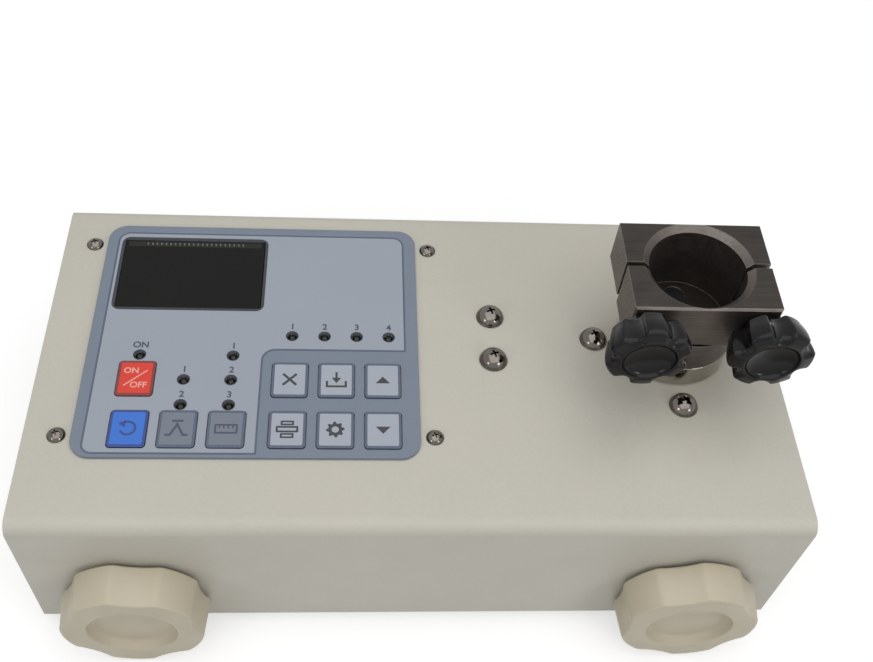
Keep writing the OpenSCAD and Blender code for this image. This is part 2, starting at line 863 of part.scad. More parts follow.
module panel_screws() {
    color("silver") at_panel_corners() translate([0, 0, top_z])
        dome_screw(panel_screw_r, top_z - board_under + panel_nut_t + panel_tail,
            panel_head_r, panel_head_h);
}

module panel_nuts() {
    color("silver") at_panel_corners() translate([0, 0, board_under - panel_nut_t])
        difference() {
            hexagon(panel_nut_af, panel_nut_t);
            translate([0, 0, -cut])
                cylinder(h = panel_nut_t + 2 * cut, r = panel_screw_r + press);
        }
}

module dome_screws() {
    color("silver") translate([0, 0, top_z]) {
        l = top_z - plate_z + dome_grip;
        round_head(4, dome_circle_r) dome_screw(dome_screw_r, l, dome_head_r, dome_head_h);
        at_pair() dome_screw(dome_screw_r, l, dome_head_r, dome_head_h);
    }
}

module head_plate() {
    color([0.55, 0.56, 0.58]) difference() {
        union() {
            translate([plate_x, head_y, plate_z]) linear_extrude(plate_t)
                rounded_outline(plate_w, plate_d, plate_r);
            translate([head_x, head_y, boss_z]) cylinder(h = plate_z - boss_z, r = boss_r);
        }
        translate([head_x, head_y, boss_z - cut])
            cylinder(h = under_z - lip_t - boss_z + cut, r = bearing_out_r + press);
        translate([head_x, head_y, plate_z])
            cylinder(h = plate_t + cut, r = bearing_out_r - race_t);
        translate([0, 0, plate_z - cut]) {
            round_head(4, dome_circle_r)
                cylinder(h = plate_t + 2 * cut, r = dome_screw_r + hole_gap);
            at_pair() cylinder(h = plate_t + 2 * cut, r = dome_screw_r + hole_gap);
        }
    }
}

module ball_groove() {
    translate([0, 0, bearing_t / 2]) rotate_extrude()
        translate([ball_ring_r, 0]) circle(ball_r + ball_run);
}

module bearing_outer_race() {
    color([0.75, 0.75, 0.77]) translate([head_x, head_y, bearing_z]) difference() {
        tube(bearing_out_r, bearing_out_r - race_t, bearing_t);
        ball_groove();
    }
}

module bearing_inner_race() {
    color([0.75, 0.75, 0.77]) translate([head_x, head_y, bearing_z]) difference() {
        tube(bearing_in_r + race_t, bearing_in_r + press, bearing_t);
        ball_groove();
    }
}

module bearing_balls() {
    color([0.85, 0.85, 0.87]) translate([0, 0, bearing_z + bearing_t / 2])
        round_head(ball_count, ball_ring_r) sphere(ball_r);
}

module bearing_clip() {
    color([0.3, 0.3, 0.32]) translate([head_x, head_y, bearing_z - clip_t])
        tube(bearing_out_r, bearing_out_r - clip_w, clip_t);
}

module torque_shaft() {
    shoulder_z = under_z - lip_t;
    color([0.82, 0.82, 0.83]) difference() {
        translate([head_x, head_y, 0]) {
            translate([0, 0, flange_z]) cylinder(h = flange_h, r = hub_r);
            translate([0, 0, shoulder_z])
                cylinder(h = flange_z - shoulder_z, r = bearing_in_r + shoulder);
            translate([0, 0, bearing_z]) cylinder(h = bearing_t, r = bearing_in_r);
        }
        round_head(4, bolt_circle_r, 45) translate([0, 0, bearing_z - cut])
            cylinder(h = bolt_grip + cut, r = bolt_r + press);
        round_head(4, chuck_bolt_circle_r)
            translate([0, 0, cap_floor_z - sunk_head_h - chuck_bolt_l])
                cylinder(h = chuck_bolt_l, r = small_r + press);
    }
}

module shaft_bolts() {
    color([0.2, 0.2, 0.22]) round_head(4, bolt_circle_r, 45)
        translate([0, 0, bearing_z - bar_flange_t]) {
            translate([0, 0, -bolt_head_h]) cylinder(h = bolt_head_h, r = bolt_head_r);
            cylinder(h = bar_flange_t + bolt_grip - press, r = bolt_r);
        }
}

module torsion_bar() {
    color([0.7, 0.71, 0.73]) difference() {
        translate([head_x, head_y, bar_z]) {
            cylinder(h = bar_flange_t, r = bar_flange_r);
            cylinder(h = bar_flange_t + bar_l, r = bar_r);
            translate([0, 0, bar_flange_t + bar_l])
                cylinder(h = bar_flange_t, r = bearing_in_r + shoulder);
            translate([-bar_square / 2, -bar_square / 2,
                bar_flange_t + (bar_l - bar_square_l) / 2])
                cube([bar_square, bar_square, bar_square_l]);
        }
        round_head(4, bolt_circle_r, 45) translate([0, 0, bearing_z - bar_flange_t - cut])
            cylinder(h = bar_flange_t + 2 * cut, r = bolt_r + bolt_slack);
        round_head(4, reaction_bolt_r, 45) translate([0, 0, bar_z - cut])
            cylinder(h = bar_flange_t + 2 * cut, r = small_r + hole_gap);
    }
}

module strain_gauges() {
    color([0.85, 0.6, 0.2]) translate([head_x, head_y, bar_mid_z])
        for (a = [0:90:270]) rotate(a)
            translate([bar_square / 2, -gauge_w / 2, -gauge_l / 2])
                cube([gauge_t, gauge_w, gauge_l]);
}

module reaction_plate() {
    color([0.55, 0.56, 0.58]) difference() {
        translate([head_x, head_y, reaction_z])
            cylinder(h = reaction_t, r = reaction_r);
        translate([0, 0, reaction_z - cut]) {
            round_head(4, dome_circle_r)
                cylinder(h = reaction_t + 2 * cut, r = small_r + hole_gap);
            round_head(4, reaction_bolt_r, 45)
                cylinder(h = reaction_t + 2 * cut, r = small_r + press);
        }
    }
}

module plate_pillars() {
    pillar_z = reaction_z + reaction_t;
    color([0.7, 0.7, 0.72]) round_head(4, dome_circle_r) difference() {
        translate([0, 0, pillar_z]) cylinder(h = plate_z - pillar_z, r = pillar_r);
        translate([0, 0, plate_z - pillar_hole])
            cylinder(h = pillar_hole + cut, r = dome_screw_r + press);
        translate([0, 0, pillar_z - cut])
            cylinder(h = pillar_hole + cut, r = small_r + press);
    }
}

module reaction_screws() {
    color("silver") {
        round_head(4, dome_circle_r) translate([0, 0, reaction_z])
            under_screw(small_r, reaction_t + pillar_hole - cut, small_head_r, small_head_h);
        round_head(4, reaction_bolt_r, 45) translate([0, 0, bar_z + bar_flange_t])
            dome_screw(small_r, bar_flange_t + reaction_t, small_head_r, small_head_h);
    }
}

module amplifier_box() {
    color([0.65, 0.66, 0.68]) difference() {
        translate([amp_left, head_y - amp_d / 2, amp_z])
            cube([amp_right - amp_left, amp_d, amp_h]);
        at_pair() translate([0, 0, plate_z - amp_hole])
            cylinder(h = amp_hole + cut, r = dome_screw_r + press);
    }
}

// The outline of both jaws from above, with its four corners bevelled
module jaw_outline() {
    x = jaw_w / 2;
    y = jaw_d / 2;
    polygon([[x, y - edge_bevel], [x - edge_bevel, y], [edge_bevel - x, y],
        [-x, y - edge_bevel], [-x, edge_bevel - y], [edge_bevel - x, -y],
        [x - edge_bevel, -y], [x, edge_bevel - y]]);
}

// The section of both jaws across the split, with its top edges bevelled
module jaw_section(low_z) {
    polygon([[front_y, low_z], [front_y, chuck_z - edge_bevel],
        [front_y + edge_bevel, chuck_z], [rear_y - edge_bevel, chuck_z],
        [rear_y, chuck_z - edge_bevel], [rear_y, low_z]]);
}

module jaw_blank(low_z) {
    intersection() {
        translate([head_x, head_y, low_z]) linear_extrude(chuck_z - low_z) jaw_outline();
        along_x(head_x - jaw_w / 2, jaw_w) jaw_section(low_z);
    }
}

module cap_bore() {
    translate([head_x, head_y, 0]) {
        translate([0, 0, cap_floor_z]) cylinder(h = chuck_z - cap_floor_z + cut, r = cap_r);
        translate([0, 0, chuck_z - mouth_bevel])
            cylinder(h = mouth_bevel, r1 = cap_r, r2 = cap_r + mouth_bevel);
        translate([0, 0, chuck_z]) cylinder(h = cut, r = cap_r + mouth_bevel);
    }
}

module at_clamps() {
    for (s = [-1, 1]) translate([head_x + s * clamp_spacing / 2, 0, clamp_z]) children();
}

module chuck_body() {
    color([0.3, 0.29, 0.28]) difference() {
        union() {
            jaw_blank(rear_z);
            translate([head_x, head_y, hub_z]) cylinder(h = rear_z - hub_z, r = hub_r);
        }
        translate([head_x - jaw_w, front_y - jaw_d, front_z - air])
            cube([2 * jaw_w, rear_split_y - front_y + jaw_d, front_jaw_h + air + cut]);
        cap_bore();
        at_clamps() translate([0, rear_split_y - cut, 0]) rotate([-90, 0, 0])
            cylinder(h = clamp_grip + clamp_end_gap + cut, r = clamp_screw_r + clamp_run);
        round_head(4, chuck_bolt_circle_r) {
            translate([0, 0, hub_z - cut])
                cylinder(h = cap_floor_z - hub_z + 2 * cut, r = small_r + hole_gap);
            translate([0, 0, cap_floor_z - sunk_head_h])
                cylinder(h = sunk_head_h, r1 = small_r + hole_gap, r2 = sunk_head_r + hole_gap);
            translate([0, 0, cap_floor_z]) cylinder(h = cut, r = sunk_head_r + hole_gap);
        }
    }
}

module chuck_screws() {
    color([0.2, 0.2, 0.22]) round_head(4, chuck_bolt_circle_r)
        translate([0, 0, cap_floor_z - sunk_head_h]) {
            cylinder(h = sunk_head_h, r1 = small_r, r2 = sunk_head_r);
            translate([0, 0, press - chuck_bolt_l]) cylinder(h = chuck_bolt_l - press, r = small_r);
        }
}

module front_jaw() {
    color([0.33, 0.32, 0.3]) difference() {
        jaw_blank(front_z);
        translate([head_x - jaw_w, front_split_y, front_z - cut])
            cube([2 * jaw_w, 2 * jaw_d, front_jaw_h + 2 * cut]);
        cap_bore();
        at_clamps() translate([0, front_y - cut, 0]) rotate([-90, 0, 0])
            cylinder(h = jaw_d, r = clamp_screw_r + clamp_run);
    }
}

module knob_outline() {
    difference() {
        circle(knob_r);
        for (i = [0:knob_lobes - 1]) rotate((i + 0.5) * 360 / knob_lobes)
            translate([knob_r - knob_hollow + knob_hollow_r, 0]) circle(knob_hollow_r);
    }
}

module clamp_knob(side) {
    face = knob_collar_t + knob_t;
    color([0.12, 0.12, 0.13]) to_front(head_x + side * clamp_spacing / 2, knob_y, clamp_z)
        difference() {
            union() {
                cylinder(h = knob_collar_t, r = knob_collar_r);
                intersection() {
                    translate([0, 0, knob_collar_t]) linear_extrude(knob_t) knob_outline();
                    union() {
                        cylinder(h = face - knob_round, r = knob_r);
                        translate([0, 0, face - knob_round])
                            cylinder(h = knob_round, r1 = knob_r, r2 = knob_r - knob_round);
                    }
                }
            }
            translate([0, 0, face - knob_bowl_depth + bowl_ball_r]) sphere(bowl_ball_r);
            translate([0, 0, -cut])
                cylinder(h = face - knob_core + cut, r = clamp_screw_r + press);
        }
}

module clamp_knob_left() {
    clamp_knob(-1);
}

module clamp_knob_right() {
    clamp_knob(1);
}

module clamp_screw(side) {
    inner = knob_collar_t + knob_t - knob_core - press;
    outer = rear_split_y + clamp_grip - knob_y;
    color("silver") to_front(head_x + side * clamp_spacing / 2, knob_y, clamp_z)
        translate([0, 0, -outer]) cylinder(h = outer + inner, r = clamp_screw_r);
}

module clamp_screw_left() {
    clamp_screw(-1);
}

module clamp_screw_right() {
    clamp_screw(1);
}

module battery_cells() {
    color([0.15, 0.35, 0.6]) for (i = [0:cell_count - 1])
        translate([battery_left, (i + 0.5) * cell_pitch - pack_half, deck_z + cell_r])
            rotate([0, 90, 0]) cylinder(h = cell_l, r = cell_r);
}

module battery_strap() {
    crown_z = deck_z + 2 * cell_r + strap_gap;
    foot_y = strap_leg_y + strap_t + strap_foot;
    color([0.7, 0.7, 0.72]) translate([battery_x - strap_w / 2, 0, 0]) difference() {
        union() {
            translate([0, -strap_leg_y - strap_t, crown_z])
                cube([strap_w, 2 * (strap_leg_y + strap_t), strap_t]);
            for (m = [0, 1]) mirror([0, m, 0]) {
                translate([0, strap_leg_y, deck_z])
                    cube([strap_w, strap_t, crown_z + strap_t - deck_z]);
                translate([0, strap_leg_y, deck_z])
                    cube([strap_w, foot_y - strap_leg_y, strap_t]);
            }
        }
        for (s = [-1, 1]) translate([strap_w / 2, s * strap_screw_y, deck_z - cut])
            cylinder(h = strap_t + 2 * cut, r = small_r + press);
    }
}

module main_board() {
    color([0.1, 0.42, 0.2]) difference() {
        translate([main_x - main_w / 2, -main_d / 2, main_under]) cube([main_w, main_d, pcb_t]);
        at_main_corners() translate([0, 0, main_under - cut])
            cylinder(h = pcb_t + 2 * cut, r = small_r + hole_gap);
    }
}

module board_block(x, y, w, d, h) {
    translate([x - w / 2, y - d / 2, main_top]) cube([w, d, h]);
}

module main_board_parts() {
    color([0.2, 0.2, 0.22]) board_block(header_x, 0, header_w, header_l, header_h);
    color([0.9, 0.89, 0.84]) for (p = [sensor_plug, battery_plug, charge_plug, port_plug])
        board_block(p[0], p[1], plug_w, plug_l, plug_h);
    color([0.08, 0.08, 0.09]) {
        board_block(chip_x, 0, chip_w, chip_w, chip_h);
        board_block(main_left + small_chip_in, -side_plug_y / 2, small_chip, small_chip, chip_h);
        translate([main_left + buzzer_in, side_plug_y / 2, main_top])
            cylinder(h = buzzer_h, r = buzzer_r);
    }
    color([0.15, 0.2, 0.45]) for (i = [0:2])
        translate([main_x + (i - 1) * (2 * can_r + can_gap), can_front + can_r - main_d / 2,
            main_top]) cylinder(h = can_h, r = can_r);
}

module charging_socket() {
    color([0.12, 0.12, 0.13]) translate([jack_x, wall_y, rear_socket_z]) rotate([-90, 0, 0]) {
        difference() {
            union() {
                cylinder(h = jack_rim_t, r = jack_rim_r);
                translate([0, 0, -jack_l]) cylinder(h = jack_l, r = jack_r);
            }
            translate([0, 0, jack_rim_t - jack_bore_l])
                cylinder(h = jack_bore_l + cut, r = jack_bore_r);
        }
        translate([0, 0, jack_rim_t - jack_bore_l])
            cylinder(h = jack_bore_l - jack_pin_sink, r = jack_pin_r);
    }
    color("silver") translate([jack_x, wall_y - sheet_t, rear_socket_z]) rotate([90, 0, 0])
        difference() {
            hexagon(jack_nut_af, jack_nut_t);
            translate([0, 0, -cut]) cylinder(h = jack_nut_t + 2 * cut, r = jack_r + press);
        }
}

module port_pins() {
    for (row = [0, 1], i = [0:4 - row])
        translate([(i - (4 - row) / 2) * port_pin_pitch, (0.5 - row) * port_row_pitch, 0])
            children();
}

module serial_socket() {
    plate_y = wall_y - sheet_t;
    color("silver") translate([port_x, plate_y, rear_socket_z]) rotate([90, 0, 0]) {
        difference() {
            translate([-port_w / 2, -port_h / 2, 0]) cube([port_w, port_h, port_t]);
            translate([0, 0, -cut]) linear_extrude(port_t + 2 * cut)
                port_outline(port_shell_w - 2 * port_shell_t, port_shell_h - 2 * port_shell_t);
            for (s = [-1, 1]) translate([s * port_pitch / 2, 0, -cut])
                cylinder(h = port_t + 2 * cut, r = lock_hole_r + hole_gap);
        }
        translate([0, 0, -port_shell_l]) linear_extrude(port_shell_l) difference() {
            port_outline(port_shell_w, port_shell_h);
            port_outline(port_shell_w - 2 * port_shell_t, port_shell_h - 2 * port_shell_t);
        }
    }
    color([0.1, 0.1, 0.11]) translate([port_x, plate_y, rear_socket_z]) rotate([90, 0, 0])
        difference() {
            union() {
                translate([-port_body_w / 2, -port_body_h / 2, port_t])
                    cube([port_body_w, port_body_h, port_body_l]);
                translate([0, 0, port_insert_sink - port_shell_l])
                    linear_extrude(port_shell_l - port_insert_sink + port_t + cut)
                        port_outline(port_shell_w - 2 * port_shell_t - 2 * press,
                            port_shell_h - 2 * port_shell_t - 2 * press);
            }
            port_pins() translate([0, 0, -port_shell_l - cut])
                cylinder(h = port_shell_l, r = port_pin_r);
        }
    color("silver") for (s = [-1, 1])
        translate([port_x + s * port_pitch / 2, wall_y, rear_socket_z]) rotate([-90, 0, 0])
            difference() {
                union() {
                    hexagon(lock_af, lock_l);
                    translate([0, 0, -sheet_t - port_t])
                        cylinder(h = sheet_t + port_t, r = lock_hole_r);
                }
                cylinder(h = lock_l + cut, r = lock_hole_r - hole_gap);
            }
}

// A flat cable that rises in one even S from the lower to the upper header
module ribbon() {
    low = main_top + header_h;
    high = board_under - header_h;
    ease = [for (i = [0:ribbon_steps]) let (t = i / ribbon_steps)
        [header_x + (top_header_x - header_x) * t * t * (3 - 2 * t), low + (high - low) * t]];
    left = [for (p = ease) [p[0] - ribbon_t / 2, p[1]]];
    right = [for (i = [ribbon_steps:-1:0]) [ease[i][0] + ribbon_t / 2, ease[i][1]]];
    translate([0, ribbon_w / 2, 0]) rotate([90, 0, 0]) linear_extrude(ribbon_w)
        polygon(concat(left, right));
}

function over_plug(p, lift) = [p[0], p[1], main_top + plug_h + lift];

module signal_leads() {
    amp_mid_z = amp_z + amp_h / 2;
    lead_y = head_y + amp_d / 4;
    gauge_x = head_x - bar_square / 2 - gauge_t;
    gauge_lead_y = head_y - pillar_r - lead_out;
    port_in_y = wall_y - sheet_t - port_t - port_body_l;
    color([0.6, 0.6, 0.62]) ribbon();
    color([0.25, 0.25, 0.27]) {
        lead([[amp_left, lead_y, amp_mid_z], [amp_left - lead_out, lead_y, amp_mid_z],
            over_plug(sensor_plug, 2 * lead_lift), over_plug(sensor_plug, 0)], lead_r);
        lead([[gauge_x, head_y, bar_mid_z], [gauge_x - lead_out, head_y, bar_mid_z],
            [head_x - dome_circle_r, gauge_lead_y, amp_mid_z],
            [amp_right, gauge_lead_y, amp_mid_z]], lead_r);
        lead([[port_x, port_in_y, rear_socket_z], [port_x, port_in_y - lead_out, rear_socket_z],
            over_plug(port_plug, lead_lift), over_plug(port_plug, 0)], lead_r);
    }
}

module power_leads() {
    pack_y = -1.5 * cell_pitch;
    pack_z = deck_z + cell_r;
    jack_in_y = wall_y - jack_l;
    color([0.7, 0.12, 0.1]) {
        lead([[battery_left, pack_y, pack_z], [battery_left - lead_out / 2, pack_y, pack_z],
            [battery_left - lead_out / 2, pack_y, main_top + plug_h + lead_lift],
            over_plug(battery_plug, lead_lift), over_plug(battery_plug, 0)], lead_r);
        lead([[jack_x, jack_in_y, rear_socket_z], [jack_x, jack_in_y - lead_out, rear_socket_z],
            over_plug(charge_plug, lead_lift), over_plug(charge_plug, 0)], lead_r);
    }
}

red_key = [0.88, 0.27, 0.2];
blue_key = [0.27, 0.45, 0.85];
grey_key = [0.5, 0.53, 0.58];
pale_key = [0.68, 0.7, 0.75];

top_cover();
side_plate_left();
side_plate_right();
base_plate();
case_screws();
foot_front_left();
foot_front_right();
foot_rear_left();
foot_rear_right();
foot_studs();
foot_nuts();
keypad_overlay();
display_lens();
display_module();
key(POWER, red_key);  // key_power
key(RESET, blue_key);  // key_reset
key(MODE, grey_key);  // key_mode
key(UNIT, grey_key);  // key_unit
key(CLEAR, pale_key);  // key_clear
key(SAVE, pale_key);  // key_save
key(UP, pale_key);  // key_up
key(PRINT, pale_key);  // key_print
key(SET, pale_key);  // key_set
key(DOWN, pale_key);  // key_down
key_switches();
indicator_lamps();
display_board();
display_board_parts();
board_sleeves();
panel_screws();
panel_nuts();
dome_screws();
head_plate();
bearing_outer_race();
bearing_balls();
bearing_inner_race();
bearing_clip();
torque_shaft();
shaft_bolts();
torsion_bar();
strain_gauges();
reaction_plate();
plate_pillars();
reaction_screws();
amplifier_box();
chuck_body();
chuck_screws();
front_jaw();
clamp_knob_left();
clamp_knob_right();
clamp_screw_left();
clamp_screw_right();
battery_cells();
battery_strap();
main_board();
main_board_parts();
charging_socket();
serial_socket();
signal_leads();
power_leads();
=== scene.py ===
"""Looks of a bench torque tester: painted housing, key panel, split chuck and moulded knobs."""
import json
import math
import bmesh
import bpy
from mathutils import Euler, Matrix, Vector

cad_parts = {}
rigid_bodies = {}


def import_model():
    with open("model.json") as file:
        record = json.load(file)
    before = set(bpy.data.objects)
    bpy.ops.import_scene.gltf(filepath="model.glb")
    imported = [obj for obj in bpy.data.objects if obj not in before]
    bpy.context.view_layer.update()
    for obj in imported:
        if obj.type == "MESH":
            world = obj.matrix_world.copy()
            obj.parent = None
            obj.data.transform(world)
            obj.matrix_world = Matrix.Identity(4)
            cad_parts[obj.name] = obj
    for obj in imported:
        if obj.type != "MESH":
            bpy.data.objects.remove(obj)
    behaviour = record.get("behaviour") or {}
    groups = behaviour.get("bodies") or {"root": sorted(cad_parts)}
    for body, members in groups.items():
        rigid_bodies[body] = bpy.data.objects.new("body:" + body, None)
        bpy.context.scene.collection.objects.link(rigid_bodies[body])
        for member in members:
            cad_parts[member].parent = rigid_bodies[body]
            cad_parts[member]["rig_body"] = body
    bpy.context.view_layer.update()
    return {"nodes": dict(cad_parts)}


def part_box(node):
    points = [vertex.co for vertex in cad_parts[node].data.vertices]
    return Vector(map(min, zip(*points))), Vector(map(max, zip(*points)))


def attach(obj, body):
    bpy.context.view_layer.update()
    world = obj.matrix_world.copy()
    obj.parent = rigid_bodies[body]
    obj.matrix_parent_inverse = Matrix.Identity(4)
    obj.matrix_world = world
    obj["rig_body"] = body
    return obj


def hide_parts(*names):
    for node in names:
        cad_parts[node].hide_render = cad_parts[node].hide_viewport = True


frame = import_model()

# Shapes are drawn in millimetres and scaled to metres when a piece is made
MM = 0.001


def srgb(red, green, blue):
    """A colour as it shows on screen, 0 to 255, turned into the shader's linear values."""
    def linear(value):
        share = value / 255
        return share / 12.92 if share <= 0.04045 else ((share + 0.055) / 1.055) ** 2.4
    return (linear(red), linear(green), linear(blue), 1.0)


def box_mm(node):
    """Lowest and highest corner of a CAD node, in millimetres."""
    low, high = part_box(node)
    return low / MM, high / MM


def centre_mm(node):
    low, high = box_mm(node)
    return (low + high) / 2


def slot_of(node):
    """The material slot that a CAD node carries."""
    return frame["nodes"][node].material_slots[0].name.split(".")[0]


def body_of(node):
    """The body that a CAD node rides on."""
    return frame["nodes"][node]["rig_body"]


# Materials

# Most of a noise lies between these two values
NOISE_LOW, NOISE_HIGH = 0.3, 0.7
# Cosine of the turn at which an edge is fully lightened
EDGE_LIGHT_TURN = 0.8


class Finish:
    """A material with one shader, and short ways to vary its colour, gloss and relief."""

    def __init__(self, name, colour, roughness, metallic=0.0):
        self.material = bpy.data.materials.new(name)
        self.material.use_nodes = True
        self.tree = self.material.node_tree
        self.shader = self.tree.nodes["Principled BSDF"]
        self.colour = srgb(*colour)
        self.set("Base Color", self.colour)
        self.set("Roughness", roughness)
        self.set("Metallic", metallic)
        self.relief = None
        self.place = self.node("TexCoord").outputs["Object"]

    def node(self, kind):
        return self.tree.nodes.new("ShaderNode" + kind)

    def link(self, source, target):
        self.tree.links.new(source, target)

    def set(self, socket, value):
        self.shader.inputs[socket].default_value = value
        return self

    def stretched(self, stretch):
        """The place on the object, stretched along its axes to draw a texture into streaks."""
        mapping = self.node("Mapping")
        mapping.inputs["Scale"].default_value = stretch
        self.link(self.place, mapping.inputs["Vector"])
        return mapping.outputs["Vector"]

    def noise(self, grain_mm, detail=2.0, stretch=(1, 1, 1)):
        """Noise from 0 to 1 whose blotches are about grain_mm across."""
        noise = self.node("TexNoise")
        noise.inputs["Scale"].default_value = 1 / (grain_mm * MM)
        noise.inputs["Detail"].default_value = detail
        self.link(self.stretched(stretch), noise.inputs["Vector"])
        return noise.outputs["Fac"]

    def spread(self, value, low, high):
        """Stretches a value around a half to run from low to high."""
        spread = self.node("MapRange")
        spread.inputs["From Min"].default_value = NOISE_LOW
        spread.inputs["From Max"].default_value = NOISE_HIGH
        spread.inputs["To Min"].default_value = low
        spread.inputs["To Max"].default_value = high
        self.link(value, spread.inputs["Value"])
        return spread.outputs["Result"]

    def mixed(self, other, share):
        """Lays another colour over the ones so far, by a share from 0 to 1."""
        mix = self.node("Mix")
        mix.data_type = "RGBA"
        below, above = [socket for socket in mix.inputs if socket.type == "RGBA"]
        below.default_value = self.colour
        above.default_value = srgb(*other)
        earlier = self.shader.inputs["Base Color"].links
        if earlier:
            self.link(earlier[0].from_socket, below)
        self.link(share, mix.inputs["Factor"])
        out = [socket for socket in mix.outputs if socket.type == "RGBA"][0]
        self.link(out, self.shader.inputs["Base Color"])
        return self

    def tint(self, value, other, amount):
        """Mixes another colour in where value is high."""
        return self.mixed(other, self.spread(value, 0.0, amount))

    def gloss(self, value, low, high):
        """Varies the roughness between two values."""
        self.link(self.spread(value, low, high), self.shader.inputs["Roughness"])
        return self

    def bump(self, value, depth_mm):
        """Relief of that depth, added to any earlier relief."""
        bump = self.node("Bump")
        bump.inputs["Distance"].default_value = depth_mm * MM
        self.link(value, bump.inputs["Height"])
        if self.relief:
            self.link(self.relief, bump.inputs["Normal"])
        self.relief = bump.outputs["Normal"]
        self.link(self.relief, self.shader.inputs["Normal"])
        return self

    def worn(self, other, amount, width_mm):
        """Lightens the edges."""
        edge = self.node("Bevel")
        edge.samples = 4
        edge.inputs["Radius"].default_value = width_mm * MM
        flat = self.node("NewGeometry")
        turn = self.node("VectorMath")
        turn.operation = "DOT_PRODUCT"
        self.link(edge.outputs["Normal"], turn.inputs[0])
        self.link(flat.outputs["Normal"], turn.inputs[1])
        ramp = self.node("MapRange")
        ramp.inputs["From Min"].default_value = 1.0
        ramp.inputs["From Max"].default_value = EDGE_LIGHT_TURN
        ramp.inputs["To Max"].default_value = amount
        self.link(turn.outputs["Value"], ramp.inputs["Value"])
        return self.mixed(other, ramp.outputs["Result"])


def cream_paint():
    """Powder coat: a fine orange peel and faint clouds of tone."""
    paint = Finish("cream_paint_coat", (199, 195, 183), 0.42)
    paint.set("Specular IOR Level", 0.35)
    paint.tint(paint.noise(60, 3.0), (192, 189, 179), 0.8)
    paint.tint(paint.noise(0.5, 1.0), (206, 202, 190), 0.35)
    paint.gloss(paint.noise(9, 4.0), 0.36, 0.5)
    paint.bump(paint.noise(0.9, 1.5), 0.018).bump(paint.noise(0.25, 1.0), 0.004)
    return paint.material


def cream_plastic():
    """Moulded plastic with a fine spark texture and slightly warmer patches."""
    plastic = Finish("cream_plastic_moulded", (198, 190, 170), 0.45)
    plastic.set("Specular IOR Level", 0.4)
    plastic.set("Subsurface Weight", 0.08)
    plastic.set("Subsurface Radius", (0.002, 0.0015, 0.001))
    plastic.set("Subsurface Scale", 1.0)
    plastic.tint(plastic.noise(14, 3.0), (190, 181, 158), 0.6)
    plastic.gloss(plastic.noise(5, 3.0), 0.38, 0.54)
    plastic.bump(plastic.noise(0.35, 2.0), 0.008)
    return plastic.material


def printed_film(name, colour, other):
    """Matt polyester film: even ink under a finely pebbled face."""
    film = Finish(name, colour, 0.42)
    film.set("Specular IOR Level", 0.35)
    film.tint(film.noise(25, 2.0), other, 0.5)
    film.tint(film.noise(0.22, 0.0), other, 0.35)
    film.gloss(film.noise(6, 3.0), 0.36, 0.5)
    film.bump(film.noise(0.3, 1.0), 0.004)
    return film.material


def ink(name, colour, other):
    """Screen-printed ink, a little uneven and slightly glossier than the film."""
    print_ink = Finish(name, colour, 0.38)
    print_ink.tint(print_ink.noise(0.4, 2.0), other, 0.5)
    print_ink.gloss(print_ink.noise(2, 2.0), 0.3, 0.45)
    return print_ink.material


def black_plastic():
    """Glossy black moulding with handling marks that dull it in places."""
    plastic = Finish("black_plastic_gloss", (15, 15, 16), 0.16)
    plastic.set("Specular IOR Level", 0.2)
    plastic.tint(plastic.noise(4, 3.0), (22, 22, 23), 0.8)
    plastic.gloss(plastic.noise(2.5, 4.0), 0.1, 0.24)
    plastic.bump(plastic.noise(0.6, 2.0), 0.006)
    return plastic.material


def dull_black():
    """Matt black moulding of switches, chips and sockets."""
    plastic = Finish("black_plastic_matt", (40, 40, 42), 0.55)
    plastic.tint(plastic.noise(1.5, 3.0), (50, 50, 52), 0.7)
    plastic.gloss(plastic.noise(1, 2.0), 0.48, 0.62)
    plastic.bump(plastic.noise(0.2, 1.0), 0.006)
    return plastic.material


def smoked_lamp():
    """The dark smoked dome of a lamp that is off."""
    lamp = Finish("smoked_lamp", (16, 16, 18), 0.09)
    lamp.set("Specular IOR Level", 0.3)
    lamp.tint(lamp.noise(0.8, 2.0), (26, 24, 24), 0.6)
    lamp.gloss(lamp.noise(0.6, 2.0), 0.07, 0.14)
    return lamp.material


def display_glass(name, colour, other):
    """The near black display window: smooth, with wipe marks and a faint lattice."""
    glass = Finish(name, colour, 0.1)
    glass.set("Specular IOR Level", 0.15)
    glass.tint(glass.noise(0.5, 1.0, (1, 0.2, 1)), other, 0.4)
    glass.tint(glass.noise(18, 2.0, (0.4, 1, 1)), other, 0.6)
    glass.gloss(glass.noise(8, 3.0), 0.06, 0.16)
    glass.bump(glass.noise(20, 1.0), 0.01)
    return glass.material


def turned_steel(name, colour, other, rough_low, rough_high, depth_mm):
    """Bright steel with the fine rings of a lathe about its upright axis."""
    steel = Finish(name, colour, rough_low, 1.0)
    steel.tint(steel.noise(3, 3.0), other, 0.6)
    steel.gloss(steel.noise(1.4, 3.0, (0.5, 0.5, 3)), rough_low, rough_high)
    steel.bump(steel.noise(0.9, 2.0, (0.05, 0.05, 6)), depth_mm)
    return steel.material


def gunmetal(name, colour, cloud, line):
    """Dark ground steel: long grinding lines, cloudy oxide and lighter edges."""
    metal = Finish(name, colour, 0.42, 0.9)
    metal.tint(metal.noise(7, 4.0), cloud, 0.85)
    metal.tint(metal.noise(0.5, 2.0, (0.03, 1, 1)), line, 0.4)
    metal.gloss(metal.noise(0.7, 2.0, (0.06, 1, 1)), 0.34, 0.52)
    metal.bump(metal.noise(0.28, 2.0, (0.02, 1, 1)), 0.006)
    metal.worn((166, 160, 152), 0.6, 0.3)
    return metal.material


